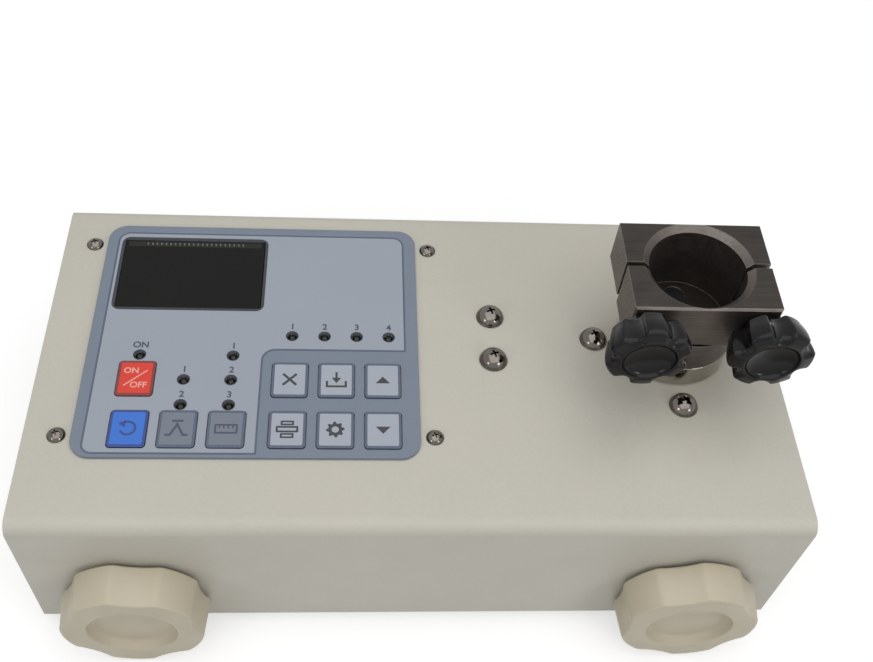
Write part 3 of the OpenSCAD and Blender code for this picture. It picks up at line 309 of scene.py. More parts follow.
def plated(name, colour, other, rough_low, rough_high):
    """Plated or milled metal with drawn lines and small clouds."""
    metal = Finish(name, colour, rough_low, 1.0)
    metal.tint(metal.noise(5, 4.0), other, 0.7)
    metal.gloss(metal.noise(0.8, 2.0, (0.05, 1, 1)), rough_low, rough_high)
    metal.bump(metal.noise(0.4, 2.0, (0.03, 1, 1)), 0.005)
    return metal.material


def circuit_board():
    """Green solder mask over copper lanes and a woven glass core."""
    board = Finish("board_green_mask", (24, 92, 52), 0.3)
    lanes = board.node("TexBrick")
    lanes.inputs["Scale"].default_value = 1 / (9 * MM)
    lanes.inputs["Mortar Size"].default_value = 0.03
    board.link(board.stretched((1, 1, 1)), lanes.inputs["Vector"])
    board.tint(lanes.outputs["Fac"], (46, 128, 74), 0.8)
    board.tint(board.noise(3, 2.0), (20, 76, 44), 0.5)
    board.gloss(board.noise(2, 2.0), 0.24, 0.4)
    board.bump(board.noise(0.5, 1.0), 0.01)
    return board.material


def insulation(name, colour, other):
    """Soft lead insulation with a faint extruded grain."""
    lead = Finish(name, colour, 0.5)
    lead.tint(lead.noise(2, 2.0), other, 0.6)
    lead.gloss(lead.noise(1, 2.0), 0.42, 0.6)
    lead.bump(lead.noise(0.4, 1.0), 0.01)
    return lead.material


def cell_wrap():
    """Shrink film round the cells, slightly wrinkled."""
    wrap = Finish("cell_wrap_film", (52, 104, 158), 0.22)
    wrap.tint(wrap.noise(6, 3.0), (44, 88, 138), 0.6)
    wrap.gloss(wrap.noise(3, 2.0), 0.18, 0.34)
    wrap.bump(wrap.noise(2.5, 2.0, (1, 1, 0.3)), 0.05)
    return wrap.material


def gauge_foil():
    """Amber film with the fine meander of a foil gauge."""
    foil = Finish("gauge_foil_film", (214, 160, 78), 0.3)
    lines = foil.node("TexWave")
    lines.bands_direction = "X"
    lines.inputs["Scale"].default_value = 1 / (2.4 * MM)
    foil.link(foil.stretched((1, 1, 1)), lines.inputs["Vector"])
    foil.tint(lines.outputs["Fac"], (150, 98, 52), 0.8)
    foil.gloss(foil.noise(1, 2.0), 0.25, 0.4)
    return foil.material


SLOTS = {
    "cream_paint": cream_paint(),
    "cream_plastic": cream_plastic(),
    "zinc_sheet": plated("zinc_sheet_plated", (188, 188, 184), (168, 170, 170), 0.24, 0.42),
    "blue_grey_film": printed_film("film_border", (124, 134, 148), (118, 128, 142)),
    "dark_window": display_glass("display_glass", (16, 16, 15), (21, 21, 19)),
    "black_plastic": black_plastic(),
    "red_key": printed_film("film_red", (226, 72, 58), (214, 62, 50)),
    "blue_key": printed_film("film_blue", (66, 122, 216), (58, 112, 204)),
    "grey_key": printed_film("film_grey", (122, 130, 142), (116, 124, 137)),
    "pale_key": printed_film("film_pale", (172, 178, 189), (165, 171, 184)),
    "board_green": circuit_board(),
    "polished_steel": turned_steel("steel_polished", (182, 177, 168), (146, 141, 133),
                                   0.08, 0.17, 0.002),
    "ground_steel": turned_steel("steel_ground", (172, 172, 171), (150, 149, 147),
                                 0.26, 0.42, 0.004),
    "black_oxide": plated("black_oxide_steel", (62, 62, 64), (50, 50, 52), 0.3, 0.5),
    "aluminium_plain": plated("aluminium_milled", (196, 198, 201), (182, 184, 188),
                              0.28, 0.44),
    "gauge_foil": gauge_foil(),
    "gunmetal": gunmetal("gunmetal_ground", (104, 97, 93), (82, 77, 73),
                         (120, 113, 108)),
    "cell_wrap": cell_wrap(),
    "grey_lead": insulation("lead_grey", (126, 126, 130), (112, 112, 116)),
    "red_lead": insulation("lead_red", (176, 52, 44), (150, 42, 36)),
}
SCREW_STEEL = turned_steel("steel_screw", (112, 107, 101), (84, 80, 75), 0.06, 0.14, 0.001)
# Darker gunmetal for the jaws' tops: a painted dark reflection of the room above them
JAW_TOP_PAINTED_DARK_REFLECTION = gunmetal("gunmetal_painted_dark_reflection", (56, 52, 49), (45, 42, 39), (72, 68, 64))
DULL_BLACK = dull_black()
SMOKED = smoked_lamp()
GLASS_BAND = display_glass("display_band", (42, 43, 38), (48, 50, 42))
FILM_LIGHT = printed_film("film_light", (161, 168, 178), (155, 162, 173))
INK_LINE = ink("ink_line", (78, 89, 110), (88, 99, 120))
INK_DARK = ink("ink_dark", (58, 66, 84), (68, 76, 94))
INK_BLACK = ink("ink_black", (36, 38, 44), (46, 48, 54))
INK_RED = ink("ink_red", (118, 46, 48), (130, 54, 54))
INK_NAVY = ink("ink_navy", (38, 62, 128), (46, 70, 136))
INK_PALE = ink("ink_pale", (240, 170, 158), (232, 158, 146))
CONTACT = ink("contact_grey", (112, 112, 104), (90, 90, 84))
WHITE_PLASTIC = printed_film("connector_white", (214, 210, 198), (202, 198, 186))
CAN_BLUE = printed_film("capacitor_sleeve", (58, 72, 122), (48, 62, 108))


# Making pieces

def make_piece(name, mesh, body, slot, materials, replaced=(), scale=MM):
    """Links a mesh as a piece that rides on a body, and hides the CAD nodes that it replaces."""
    mesh.name = name
    if scale != 1:
        mesh.transform(Matrix.Scale(scale, 4))
    piece = bpy.data.objects.new(name, mesh)
    bpy.context.scene.collection.objects.link(piece)
    mesh.materials.clear()
    for material in materials if isinstance(materials, (list, tuple)) else [materials]:
        mesh.materials.append(material)
    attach(piece, body)
    if replaced:
        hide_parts(*replaced)
    return piece


def mesh_of(bm, name, smooth_deg=35):
    """Finishes a bmesh: outward normals, and smooth shading up to that angle."""
    bmesh.ops.recalc_face_normals(bm, faces=bm.faces)
    limit = math.radians(smooth_deg)
    for face in bm.faces:
        face.smooth = True
    for edge in bm.edges:
        edge.smooth = len(edge.link_faces) == 2 and edge.calc_face_angle(0) < limit
    mesh = bpy.data.meshes.new(name)
    bm.to_mesh(mesh)
    bm.free()
    return mesh


def rounded_edges(piece, width_mm, segments=2, angle_deg=32):
    """Rounds the sharp edges with real geometry and keeps the flats flat."""
    bevel = piece.modifiers.new("rounded_edges", "BEVEL")
    bevel.width = width_mm * MM
    bevel.segments = segments
    bevel.limit_method = "ANGLE"
    bevel.angle_limit = math.radians(angle_deg)
    bevel.harden_normals = True
    bevel.use_clamp_overlap = True
    bevel.miter_outer = "MITER_ARC"
    return piece


# Nearer points of a CAD mesh, or of a mesh made here, are joined
SEAM_MM = 0.002
JOIN_MM = 0.001
# Facets that turn by less than this are one flat
FLAT_DEG = 0.5


def cad_copy(node):
    """A bmesh of a CAD node, with its seams closed."""
    bm = bmesh.new()
    bm.from_mesh(frame["nodes"][node].data)
    bmesh.ops.remove_doubles(bm, verts=bm.verts, dist=SEAM_MM * MM)
    return bm


def refined(node, width_mm, choose=None, materials=None, segments=2):
    """A CAD node with clean flats and rounded edges. choose picks each solid's material."""
    slot = slot_of(node)
    bm = cad_copy(node)
    bmesh.ops.dissolve_limit(bm, angle_limit=math.radians(FLAT_DEG), verts=bm.verts, edges=bm.edges)
    if choose:
        for solid in solids_of(bm):
            index = choose(*[Vector(corner) for corner in solid_box(solid)])
            for face in solid:
                face.material_index = index
    mesh = mesh_of(bm, node + "_detail")
    piece = make_piece(node + "_detail", mesh, body_of(node), slot,
                       materials or SLOTS[slot], [node], 1)
    return rounded_edges(piece, width_mm, segments)


def solid_box(solid):
    """Lowest and highest corner of a solid, in millimetres."""
    places = [[value / MM for value in vert.co] for face in solid for vert in face.verts]
    return [min(values) for values in zip(*places)], [max(values) for values in zip(*places)]


def solid_middles(node):
    """Middle of each separate solid of a node, seen from above."""
    bm = cad_copy(node)
    boxes = [solid_box(solid) for solid in solids_of(bm)]
    bm.free()
    return sorted(((low[0] + high[0]) / 2, (low[1] + high[1]) / 2) for low, high in boxes)


def solids_of(bm):
    """The faces of each separate solid."""
    left = set(bm.faces)
    found = []
    while left:
        start = min(left, key=lambda face: face.index)
        solid, queue = {start}, [start]
        while queue:
            for edge in queue.pop().edges:
                for face in edge.link_faces:
                    if face not in solid:
                        solid.add(face)
                        queue.append(face)
        left -= solid
        found.append(solid)
    return found


def left_of(way):
    return Vector((-way.y, way.x))


def turned(point, angle):
    c, s = math.cos(angle), math.sin(angle)
    return Vector((point.x * c - point.y * s, point.x * s + point.y * c))


# Least radius that an inset corner keeps, and the share that stops a long mitre
LEAST_R = 0.05
MITRE_SHARE = 0.3


def quarter(steps, first=0):
    """The angles of a quarter turn, from a first step on."""
    return [math.pi / 2 * k / steps for k in range(first, steps + 1)]


def round_path(corners, inset=0.0, steps=6):
    """A closed anticlockwise outline of square (x, y, radius) corners, drawn in by inset."""
    points = []
    for i, (x, y, r) in enumerate(corners):
        here = Vector((x, y))
        way_in = (here - Vector(corners[i - 1][:2])).normalized()
        way_out = (Vector(corners[(i + 1) % len(corners)][:2]) - here).normalized()
        inward = left_of(way_in) + left_of(way_out)
        side = 1 if way_in.x * way_out.y - way_in.y * way_out.x > 0 else -1
        corner = here + inset * inward
        radius = max(r - side * inset, LEAST_R)
        centre = corner + side * radius * inward
        spoke = corner - radius * way_in - centre
        points += [centre + turned(spoke, side * math.pi / 2 * k / steps) for k in range(steps + 1)]
    return points


def round_box(low, high, r, inset=0.0):
    """A rectangle with round corners, from its low to its high corner."""
    return round_path([(low[0], low[1], r), (high[0], low[1], r),
                       (high[0], high[1], r), (low[0], high[1], r)], inset)


def circle(x, y, r, steps=32):
    return [Vector((x + r * math.cos(2 * math.pi * k / steps),
                    y + r * math.sin(2 * math.pi * k / steps))) for k in range(steps)]


def ring_at(x, y, r, z, steps):
    """A level circle at a height."""
    return [Vector((*point, z)) for point in circle(x, y, r, steps)]


def at(x, y, *points):
    """Points that are given from a middle."""
    return [Vector((x + a, y + b)) for a, b in points]


def line_box(x, y, half_w, low, high, r, line_w):
    """A box drawn as a line, half_w to both sides of x and from low to high above y."""
    corners = (x - half_w, y + low), (x + half_w, y + high)
    return [round_box(*corners, r), round_box(*corners, r, line_w)]


def stroke(points, width):
    """The outline of an open line of that width, with mitred bends."""
    points = [Vector(point) for point in points]
    sides = ([], [])
    for i, point in enumerate(points):
        ways = [(points[k + 1] - points[k]).normalized() for k in (i - 1, i)
                if 0 <= k < len(points) - 1]
        normal = sum((left_of(way) for way in ways), Vector((0, 0))).normalized()
        reach = width / 2 / max(normal.dot(left_of(ways[0])), MITRE_SHARE)
        sides[0].append(point + normal * reach)
        sides[1].append(point - normal * reach)
    return sides[0] + sides[1][::-1]


def flat_piece(name, outlines, low, high, body, slot, material):
    """A thin flat solid between two heights. An outline inside another one is a hole."""
    curve = bpy.data.curves.new("outline", "CURVE")
    curve.dimensions = "2D"
    curve.fill_mode = "BOTH"
    curve.extrude = (high - low) / 2
    for outline in outlines:
        spline = curve.splines.new("POLY")
        spline.points.add(len(outline) - 1)
        for point, place in zip(spline.points, outline):
            point.co = (place[0], place[1], 0, 1)
        spline.use_cyclic_u = True
    mesh = mesh_from(curve)
    mesh.transform(Matrix.Translation((0, 0, (low + high) / 2)))
    return make_piece(name, mesh, body, slot, material)


def mesh_from(curve):
    """The mesh of a curve or text, with its seams closed."""
    holder = bpy.data.objects.new("outline", curve)
    bpy.context.scene.collection.objects.link(holder)
    bpy.context.view_layer.update()
    found = holder.evaluated_get(bpy.context.evaluated_depsgraph_get())
    mesh = bpy.data.meshes.new_from_object(found)
    bpy.data.objects.remove(holder)
    bpy.data.curves.remove(curve)
    bm = bmesh.new()
    bm.from_mesh(mesh)
    bmesh.ops.remove_doubles(bm, verts=bm.verts, dist=JOIN_MM)
    bpy.data.meshes.remove(mesh)
    return mesh_of(bm, "flat")


def words_piece(name, text, size, x, y, low, body, slot, material):
    """Plain printed numbers or ON and OFF, centred on a point."""
    curve = bpy.data.curves.new(name, "FONT")
    curve.body = text
    curve.size = size
    curve.align_x = "CENTER"
    curve.align_y = "CENTER"
    curve.extrude = PRINT_T / 2
    curve.offset = size * BOLD_SHARE
    mesh = mesh_from(curve)
    mesh.transform(Matrix.Translation((x, y, low + PRINT_T / 2)))
    return make_piece(name, mesh, body, slot, material)


def loft(rings, name, capped=True, smooth_deg=35):
    """A skin over rings of equally many points, with its ends closed if capped."""
    bm = bmesh.new()
    rows = [[bm.verts.new(point) for point in ring] for ring in rings]
    count = len(rows[0])
    for lower, upper in zip(rows, rows[1:]):
        for k in range(count):
            n = (k + 1) % count
            bm.faces.new((lower[k], lower[n], upper[n], upper[k]))
    for row in (rows[0], rows[-1]) if capped else ():
        middle = bm.verts.new(sum((vert.co for vert in row), Vector()) / count)
        for k in range(count):
            bm.faces.new((row[k], row[(k + 1) % count], middle))
    return mesh_of(bm, name, smooth_deg)


def lathe(profile, x, y, name, steps):
    """Turns a profile of (radius, height) points about an upright axis."""
    return loft([ring_at(x, y, r, z, steps) for r, z in profile], name)


def add_mesh(bm, mesh):
    """Adds a mesh to a bmesh, and frees the mesh."""
    bm.from_mesh(mesh)
    bpy.data.meshes.remove(mesh)


# Heights that the panel's print stands on, and the print's own measures
FILM_TOP = box_mm("keypad_overlay")[1].z
CAP_TOP = box_mm("key_power")[1].z
PRINT_T = 0.04
LINE_T = 1.5 * PRINT_T
PRINT_GAP = 0.2
BOLD_SHARE = 0.026


def dress_housing():
    """The bent cover and side plates with rounded sheet edges."""
    refined("top_cover", 0.28, segments=3)
    for side in ("left", "right"):
        refined("side_plate_" + side, 0.28)
    refined("base_plate", 0.25)
    refined("foot_studs", 0.25)
    refined("foot_nuts", 0.3)


def lobe_radius(angle, reach, count, hollow_r, hollow_depth, soft):
    """Radius of a lobed outline: a circle with round hollows between its lobes, blended softly."""
    lobe = 2 * math.pi / count
    off = (angle + lobe / 2) % lobe - lobe / 2
    off = lobe / 2 - abs(off)
    distance = reach - hollow_depth + hollow_r
    sideways = distance * math.sin(off)
    if abs(sideways) >= hollow_r:
        return reach
    hollow = distance * math.cos(off) - math.sqrt(hollow_r ** 2 - sideways ** 2)
    blend = max(soft - abs(reach - hollow), 0.0) / soft
    return min(reach, hollow) - blend * blend * soft / 4


def knob_rings(profile, outline, centre_of, steps):
    """Rings of a knob. Each profile point is (share of the outline, change of radius, height)."""
    rings = []
    for share, change, height in profile:
        ring = []
        for k in range(steps):
            angle = 2 * math.pi * k / steps
            r = outline(angle) * share + change
            ring.append(centre_of(r * math.cos(angle), r * math.sin(angle), height))
        rings.append(ring)
    return rings


# Height of the feet's axes, and how far each foot is turned, as a share of half a lobe
FOOT_Z = 20.0
FOOT_LOBES = 5
FOOT_TURNS = {("front", "left"): -0.4, ("front", "right"): 0.9,
              ("rear", "left"): 0.6, ("rear", "right"): -0.3}
# (radius, height) of the recess round the stud, from the back
FOOT_RECESS = [(4.2, 1.4), (9.0, 1.4), (9.6, 1.2), (10.2, 0.25), (10.8, 0.0)]
# (distance inside the dish's wall, height over its floor) of the round between them
DISH_FILLET = [(0.5, 1.1), (0.75, 0.55), (1.2, 0.16), (1.9, 0.0)]
# (radius, depth under the floor) of the shallow mark in the dish's middle
DISH_MARK = [(4.0, 0.0), (3.4, 0.12), (0.6, 0.12)]


def foot_knob(end, side, turn):
    """A lobed foot with a drafted rim, rounded edges, a dished face and a hollow back."""
    node = f"foot_{end}_{side}"
    low, high = box_mm(node)
    middle = (low + high) / 2
    face_way = -1 if end == "front" else 1
    thick = high.y - low.y
    back_y = high.y if end == "front" else low.y
    reach, hollow_r, hollow_depth, soft = 20.0, 23.7, 1.8, 0.5
    draft, edge, back_edge = 1.0, 0.7, 0.9
    dish_r, dish_depth, dish_edge = 12.0, 2.8, 0.5

    def outline(angle):
        return lobe_radius(angle - turn, reach, FOOT_LOBES, hollow_r, hollow_depth, soft)

    def centre_of(x, y, height):
        return Vector((middle.x + x, back_y + face_way * height, FOOT_Z + y))

    profile = [(0, r, z) for r, z in FOOT_RECESS]
    profile += [(1, -2.2, 0.0), (1, -1.4, 0.0)]
    profile += [(1, -back_edge * (1 - math.sin(a)), back_edge * (1 - math.cos(a)))
                for a in quarter(4)]
    rim = thick - edge
    profile += [(1, -draft * z / thick, z) for z in (rim * 0.3, rim * 0.65, rim)]
    top_in = draft * rim / thick
    profile += [(1, -top_in - edge * (1 - math.cos(a)), rim + edge * math.sin(a))
                for a in quarter(6, 1)]
    flat_in = top_in + edge
    profile += [(1 - share, -flat_in * (1 - share) + (dish_r + dish_edge) * share, thick)
                for share in (0.25, 0.5, 0.75, 0.92)]
    profile += [(0, dish_r + dish_edge * (1 - math.sin(a)), thick - dish_edge * (1 - math.cos(a)))
                for a in quarter(4)]
    floor = thick - dish_depth
    profile += [(0, dish_r - inside, floor + z) for inside, z in DISH_FILLET]
    profile += [(0, r, floor - depth) for r, depth in DISH_MARK]
    mesh = loft(knob_rings(profile, outline, centre_of, 200), node, smooth_deg=50)
    return make_piece(node + "_knob_moulded", mesh, node + "_knob", "cream_plastic",
                      SLOTS["cream_plastic"], [node])


def dress_feet():
    """All four feet, each turned as it stands."""
    half_lobe = math.pi / FOOT_LOBES / 2
    for (end, side), share in FOOT_TURNS.items():
        foot_knob(end, side, share * half_lobe - math.pi / 2)


LEFT_KEYS = ("power", "reset", "mode", "unit")
RIGHT_KEYS = ("clear", "save", "up", "print", "set", "down")
LAMP_PLACES = sorted({(round(x, 2), round(y, 2)) for x, y in solid_middles("indicator_lamps")})
LAMP_HOLE_R = 1.6
KEY_HOLE_R = 1.0
WINDOW_R = 0.6

# The light field: its distances from the overlay's edges, its step's inner corner and its line
FIELD_LEFT, FIELD_RIGHT, FIELD_FRONT, FIELD_REAR = 3.0, 3.5, 0.9, 2.7
FIELD_STEP_X, FIELD_STEP_Y = -43.5, 0.45
FIELD_LAP, FIELD_LINE_W = 0.3, 0.55
WINDOW_FRAME_R, WINDOW_FRAME_W = 1.4, 1.05


def dress_film():
    """The overlay with its printed border, light field and dark outlines."""
    refined("keypad_overlay", 0.12)
    low, high = box_mm("keypad_overlay")
    left, right = low.x + FIELD_LEFT, high.x - FIELD_RIGHT
    front, rear = low.y + FIELD_FRONT, high.y - FIELD_REAR
    corners = [(left, front, 3.0), (FIELD_STEP_X, front, 0.3), (FIELD_STEP_X, FIELD_STEP_Y, 3.4),
               (right, FIELD_STEP_Y, 0.4), (right, rear, 3.4), (left, rear, 3.4)]
    window = round_box(*box_mm("display_lens"), WINDOW_R, -PRINT_GAP)
    holes = [circle(x, y, LAMP_HOLE_R) for x, y in LAMP_PLACES] + [window]
    holes += [round_box(*box_mm("key_" + name), KEY_HOLE_R, -PRINT_GAP) for name in LEFT_KEYS]
    flat_piece("print_light_field", [round_path(corners, FIELD_LAP), *holes], FILM_TOP,
               FILM_TOP + PRINT_T, "housing", "blue_grey_film", FILM_LIGHT)
    flat_piece("print_field_line", [round_path(corners), round_path(corners, FIELD_LINE_W)],
               FILM_TOP, FILM_TOP + LINE_T, "housing", "blue_grey_film", INK_LINE)
    window_frame = round_box(*box_mm("display_lens"), WINDOW_FRAME_R, -WINDOW_FRAME_W)
    flat_piece("print_window_frame", [window_frame, window], FILM_TOP, FILM_TOP + LINE_T,
               "housing", "dark_window", INK_BLACK)


LAMP_R = 1.45
LAMP_ROOT_R = 0.3
BEZEL_T = 0.06
# (radius, height over the film) of the ring round a lamp
BEZEL = [(1.5, 0.0), (1.55, BEZEL_T), (1.8, BEZEL_T), (1.86, 0.0)]


def dress_lamps():
    """Smoked lamp domes in their black bezels."""
    low, high = box_mm("indicator_lamps")
    ball_z = high.z - LAMP_R
    profile = [(LAMP_ROOT_R, low.z), (LAMP_R, low.z), (LAMP_R, ball_z)]
    profile += [(LAMP_R * math.cos(a), ball_z + LAMP_R * math.sin(a)) for a in quarter(8, 1)[:-1]]
    bm = bmesh.new()
    for x, y in LAMP_PLACES:
        add_mesh(bm, lathe(profile, x, y, "dome", 32))
    make_piece("indicator_lamp_domes", mesh_of(bm, "domes"), "housing", "black_plastic", SMOKED,
               ["indicator_lamps"])
    for k, (x, y) in enumerate(LAMP_PLACES):
        rings = [ring_at(x, y, r, FILM_TOP + z, 40) for r, z in BEZEL]
        ring_mesh = loft(rings + rings[:1], "bezel", capped=False)
        make_piece(f"lamp_bezel_{k + 1}", ring_mesh, "housing", "black_plastic", INK_BLACK)


# Size of the numbers, and how far behind its lamp each one stands
LABEL_SIZE, LABEL_BACK = 2.8, 3.35
# Keeps minus signs out of the labels' names
NAME_SHIFT = 200


def dress_labels():
    """Plain numbers over the lamps, and ON over the lamp of the power key."""
    columns = {}
    for x, y in LAMP_PLACES:
        columns.setdefault(x, []).append(y)
    upper = [place for place in LAMP_PLACES if len(columns[place[0]]) == 1]
    power_x = centre_mm("key_power").x
    number = 0
    for x, y in LAMP_PLACES:
        if abs(x - power_x) < 1:
            text = "ON"
        elif (x, y) in upper:
            number += 1
            text = str(number)
        else:
            text = str(1 + sorted(columns[x], reverse=True).index(y))
        words_piece(f"print_label_{text}_{int(x + NAME_SHIFT)}_{int(y + NAME_SHIFT)}", text,
                    LABEL_SIZE, x, y + LABEL_BACK, FILM_TOP + PRINT_T, "housing",
                    "blue_grey_film", INK_DARK)


# Width of a symbol's strokes
SYMBOL_W = 0.62


def arrow(x, y, way):
    """A filled arrow head, which points to the rear or, with way -1, to the front."""
    return at(x, y, (-2.0, -way), (2.0, -way), (0, 1.24 * way))


def return_arrow(x, y):
    """An arc with a head, for the key that sets back to zero."""
    r, first_deg, step_deg = 2.0, 130, 15
    arc = [Vector((x + r * math.cos(a), y + r * math.sin(a)))
           for a in (math.radians(first_deg - step_deg * k) for k in range(20))]
    return [stroke(arc[1:], SYMBOL_W), at(*arc[0], (-1.3, -0.1), (0.45, -1.35), (0.55, 0.95))]


def gear(x, y):
    """A toothed wheel with a hole."""
    count, tip_r, root_r, hole_r = 32, 2.5, 1.9, 1.0
    teeth = []
    for k in range(count):
        a = 2 * math.pi * k / count
        r = tip_r if k % 4 in (0, 1) else root_r
        teeth.append(Vector((x + r * math.cos(a), y + r * math.sin(a))))
    return [teeth, circle(x, y, hole_r, 20)]


def key_symbol(name, x, y):
    """The outlines of a plain symbol for each key but power, drawn about its middle."""
    if name in ("up", "down"):
        return [arrow(x, y, 1 if name == "up" else -1)]
    if name == "reset":
        return return_arrow(x, y)
    if name == "mode":
        peak = at(x, y, (-3.0, -2.0), (-1.7, -2.0), (0, 1.3), (1.7, -2.0), (3.0, -2.0))
        return [stroke(peak, SYMBOL_W), stroke(at(x, y, (-1.5, 2.4), (1.5, 2.4)), SYMBOL_W)]
    if name == "unit":
        ticks = [at(x + dx, y, (-0.2, 0.1), (0.2, 0.1), (0.2, 0.95), (-0.2, 0.95))
                 for dx in (-1.8, -0.6, 0.6, 1.8)]
        return line_box(x, y, 3.1, -1.5, 1.5, 0.3, 0.5) + ticks
    if name == "clear":
        return [at(x, y, (-2.1, -1.6), (-1.6, -2.1), (0, -0.5), (1.6, -2.1), (2.1, -1.6), (0.5, 0),
                   (2.1, 1.6), (1.6, 2.1), (0, 0.5), (-1.6, 2.1), (-2.1, 1.6), (-0.5, 0))]
    if name == "save":
        tray = at(x, y, (-2.6, -0.4), (-2.6, -2.2), (2.6, -2.2), (2.6, -0.4))
        return [stroke(tray, SYMBOL_W),
                at(x, y, (-0.3, 2.6), (0.3, 2.6), (0.3, 0.7), (1.3, 0.7), (0, -1.1), (-1.3, 0.7),
                   (-0.3, 0.7))]
    if name == "print":
        return (line_box(x, y, 3.0, -1.0, 1.0, 0.3, 0.55)
                + line_box(x, y, 1.8, 1.25, 2.7, 0.2, 0.5)
                + line_box(x, y, 1.8, -2.8, -1.25, 0.2, 0.5))
    return gear(x, y)


# The dark line round a key's face, and the size of the words on the power key
KEY_LINE_W = 0.75
KEY_FACE_R = 1.2
KEY_WORD_SIZE = 2.6


def dress_key(name):
    """A key with its dark rounded edge, coloured face and symbol, all of which move with it."""
    node = "key_" + name
    slot, body = slot_of(node), body_of(node)
    line = {"red_key": INK_RED, "blue_key": INK_NAVY}.get(slot, INK_LINE)
    refined(node, 0.18, materials=line)
    x, y, _ = centre_mm(node)
    face_top = CAP_TOP + PRINT_T
    flat_piece(f"print_face_{name}", [round_box(*box_mm(node), KEY_FACE_R, KEY_LINE_W)], CAP_TOP,
               face_top, body, slot, SLOTS[slot])
    if name == "power":
        slash = stroke(at(x, y, (-3.0, -2.6), (3.0, 2.6)), 0.4)
        flat_piece("print_slash_power", [slash], face_top, face_top + PRINT_T, body, slot, INK_PALE)
        for text, dx, dy in (("ON", -1.4, 2.4), ("OFF", 1.0, -2.4)):
            words_piece(f"print_{text.lower()}_power", text, KEY_WORD_SIZE, x + dx, y + dy,
                        face_top, body, slot, INK_PALE)
        return
    symbol_ink = {"blue_key": INK_NAVY, "grey_key": INK_DARK}.get(slot, INK_BLACK)
    flat_piece(f"print_symbol_{name}", key_symbol(name, x, y), face_top, face_top + PRINT_T,
               body, slot, symbol_ink)


def dress_display():
    """The dark window with the olive seal along its rear edge and its row of contacts."""
    low, high = box_mm("display_lens")
    refined("display_lens", 0.2)
    refined("display_module", 0.2, materials=DULL_BLACK)
    face = high.z
    side, front, rear, r = 1.0, 2.6, 0.6, 0.4
    band = round_box((low.x + side, high.y - front), (high.x - side, high.y - rear), r)
    flat_piece("display_band", [band], face, face + PRINT_T, "housing", "dark_window", GLASS_BAND)
    count, pitch, half_w, front, rear, r = 22, 1.35, 0.2, 1.9, 1.1, 0.1
    start = centre_mm("display_lens").x - (count - 1) * pitch / 2
    dots = [round_box((x - half_w, high.y - front), (x + half_w, high.y - rear), r)
            for x in (start + k * pitch for k in range(count))]
    flat_piece("display_contacts", dots, face + PRINT_T, face + LINE_T, "housing",
               "dark_window", CONTACT)


# Turn and taper of the screws' recesses, and their reach above the head
RECESS_TURN_DEG = 20
RECESS_TAPER = 0.55
RECESS_ABOVE = 0.6


def cross_recess(x, y, top, reach, width, depth):
    """A tapered cross that is cut into a screw's head."""
    bm = bmesh.new()
    for arm_deg in (0, 90):
        turn = Matrix.Rotation(math.radians(arm_deg + RECESS_TURN_DEG), 4, "Z")
        matrix = Matrix.Translation((x, y, top)) @ turn
        corners = [(reach, width, RECESS_ABOVE),
                   (reach * RECESS_TAPER, width * RECESS_TAPER, -depth)]
        rows = []
        for a, b, z in corners:
            rows.append([bm.verts.new(matrix @ Vector((sx * a / 2, sy * b / 2, z)))
                         for sx, sy in ((-1, -1), (1, -1), (1, 1), (-1, 1))])
        bm.faces.new(rows[0])
        bm.faces.new(rows[1][::-1])
        for k in range(4):
            n = (k + 1) % 4
            bm.faces.new((rows[0][k], rows[1][k], rows[1][n], rows[0][n]))
    return mesh_of(bm, "cutter")


def head_profile(low_z, seat, head_r, head_h, shank_r):
    """(radius, height) of a screw: a chamfered shank, a rolled edge and a dome."""
    chamfer, steps = 0.4, 12
    ball = (head_r ** 2 + head_h ** 2) / (2 * head_h)
    centre_z = seat + head_h - ball
    edge = math.asin(min(1.0, (head_r - 0.06) / ball))
    slopes = [edge * (1 - k / steps) for k in range(steps)]
    return [(chamfer, low_z), (shank_r, low_z + chamfer), (shank_r, seat),
            (head_r - 0.35, seat), (head_r - 0.1, seat + 0.06), (head_r, seat + 0.22),
            *[(ball * math.sin(slope), centre_z + ball * math.cos(slope)) for slope in slopes]]


def dress_screws(node, head_r, head_h, shank_r, recess):
    """Domed screws with a rolled lower edge and a tapered cross recess."""
    seat = box_mm("top_cover")[1].z
    profile = head_profile(box_mm(node)[0].z, seat, head_r, head_h, shank_r)
    heads = bmesh.new()
    cutters = bmesh.new()
    for x, y in solid_middles(node):
        add_mesh(heads, lathe(profile, x, y, "head", 64))
        add_mesh(cutters, cross_recess(x, y, seat + head_h, *recess))
    cutter = bpy.data.objects.new("cutter", mesh_of(cutters, "cutters"))
    cutter.data.transform(Matrix.Scale(MM, 4))
    bpy.context.scene.collection.objects.link(cutter)
    piece = make_piece(node + "_detail", mesh_of(heads, "heads"), body_of(node),
                       "polished_steel", SCREW_STEEL, [node])
    cut = piece.modifiers.new("recess", "BOOLEAN")
    cut.operation = "DIFFERENCE"
    cut.solver = "EXACT"
    cut.use_self = True
    cut.object = cutter
    bpy.context.view_layer.update()
    found = piece.evaluated_get(bpy.context.evaluated_depsgraph_get())
    made = bpy.data.meshes.new_from_object(found)
    piece.modifiers.clear()
    bm = bmesh.new()
    add_mesh(bm, made)
    bmesh.ops.remove_doubles(bm, verts=bm.verts, dist=JOIN_MM * MM)
    cut_mesh = mesh_of(bm, node + "_cut", 30)
    cut_mesh.materials.clear()
    cut_mesh.materials.append(SCREW_STEEL)
    piece.data = cut_mesh
    bpy.data.objects.remove(cutter)
    return rounded_edges(piece, 0.07, 2, 38)


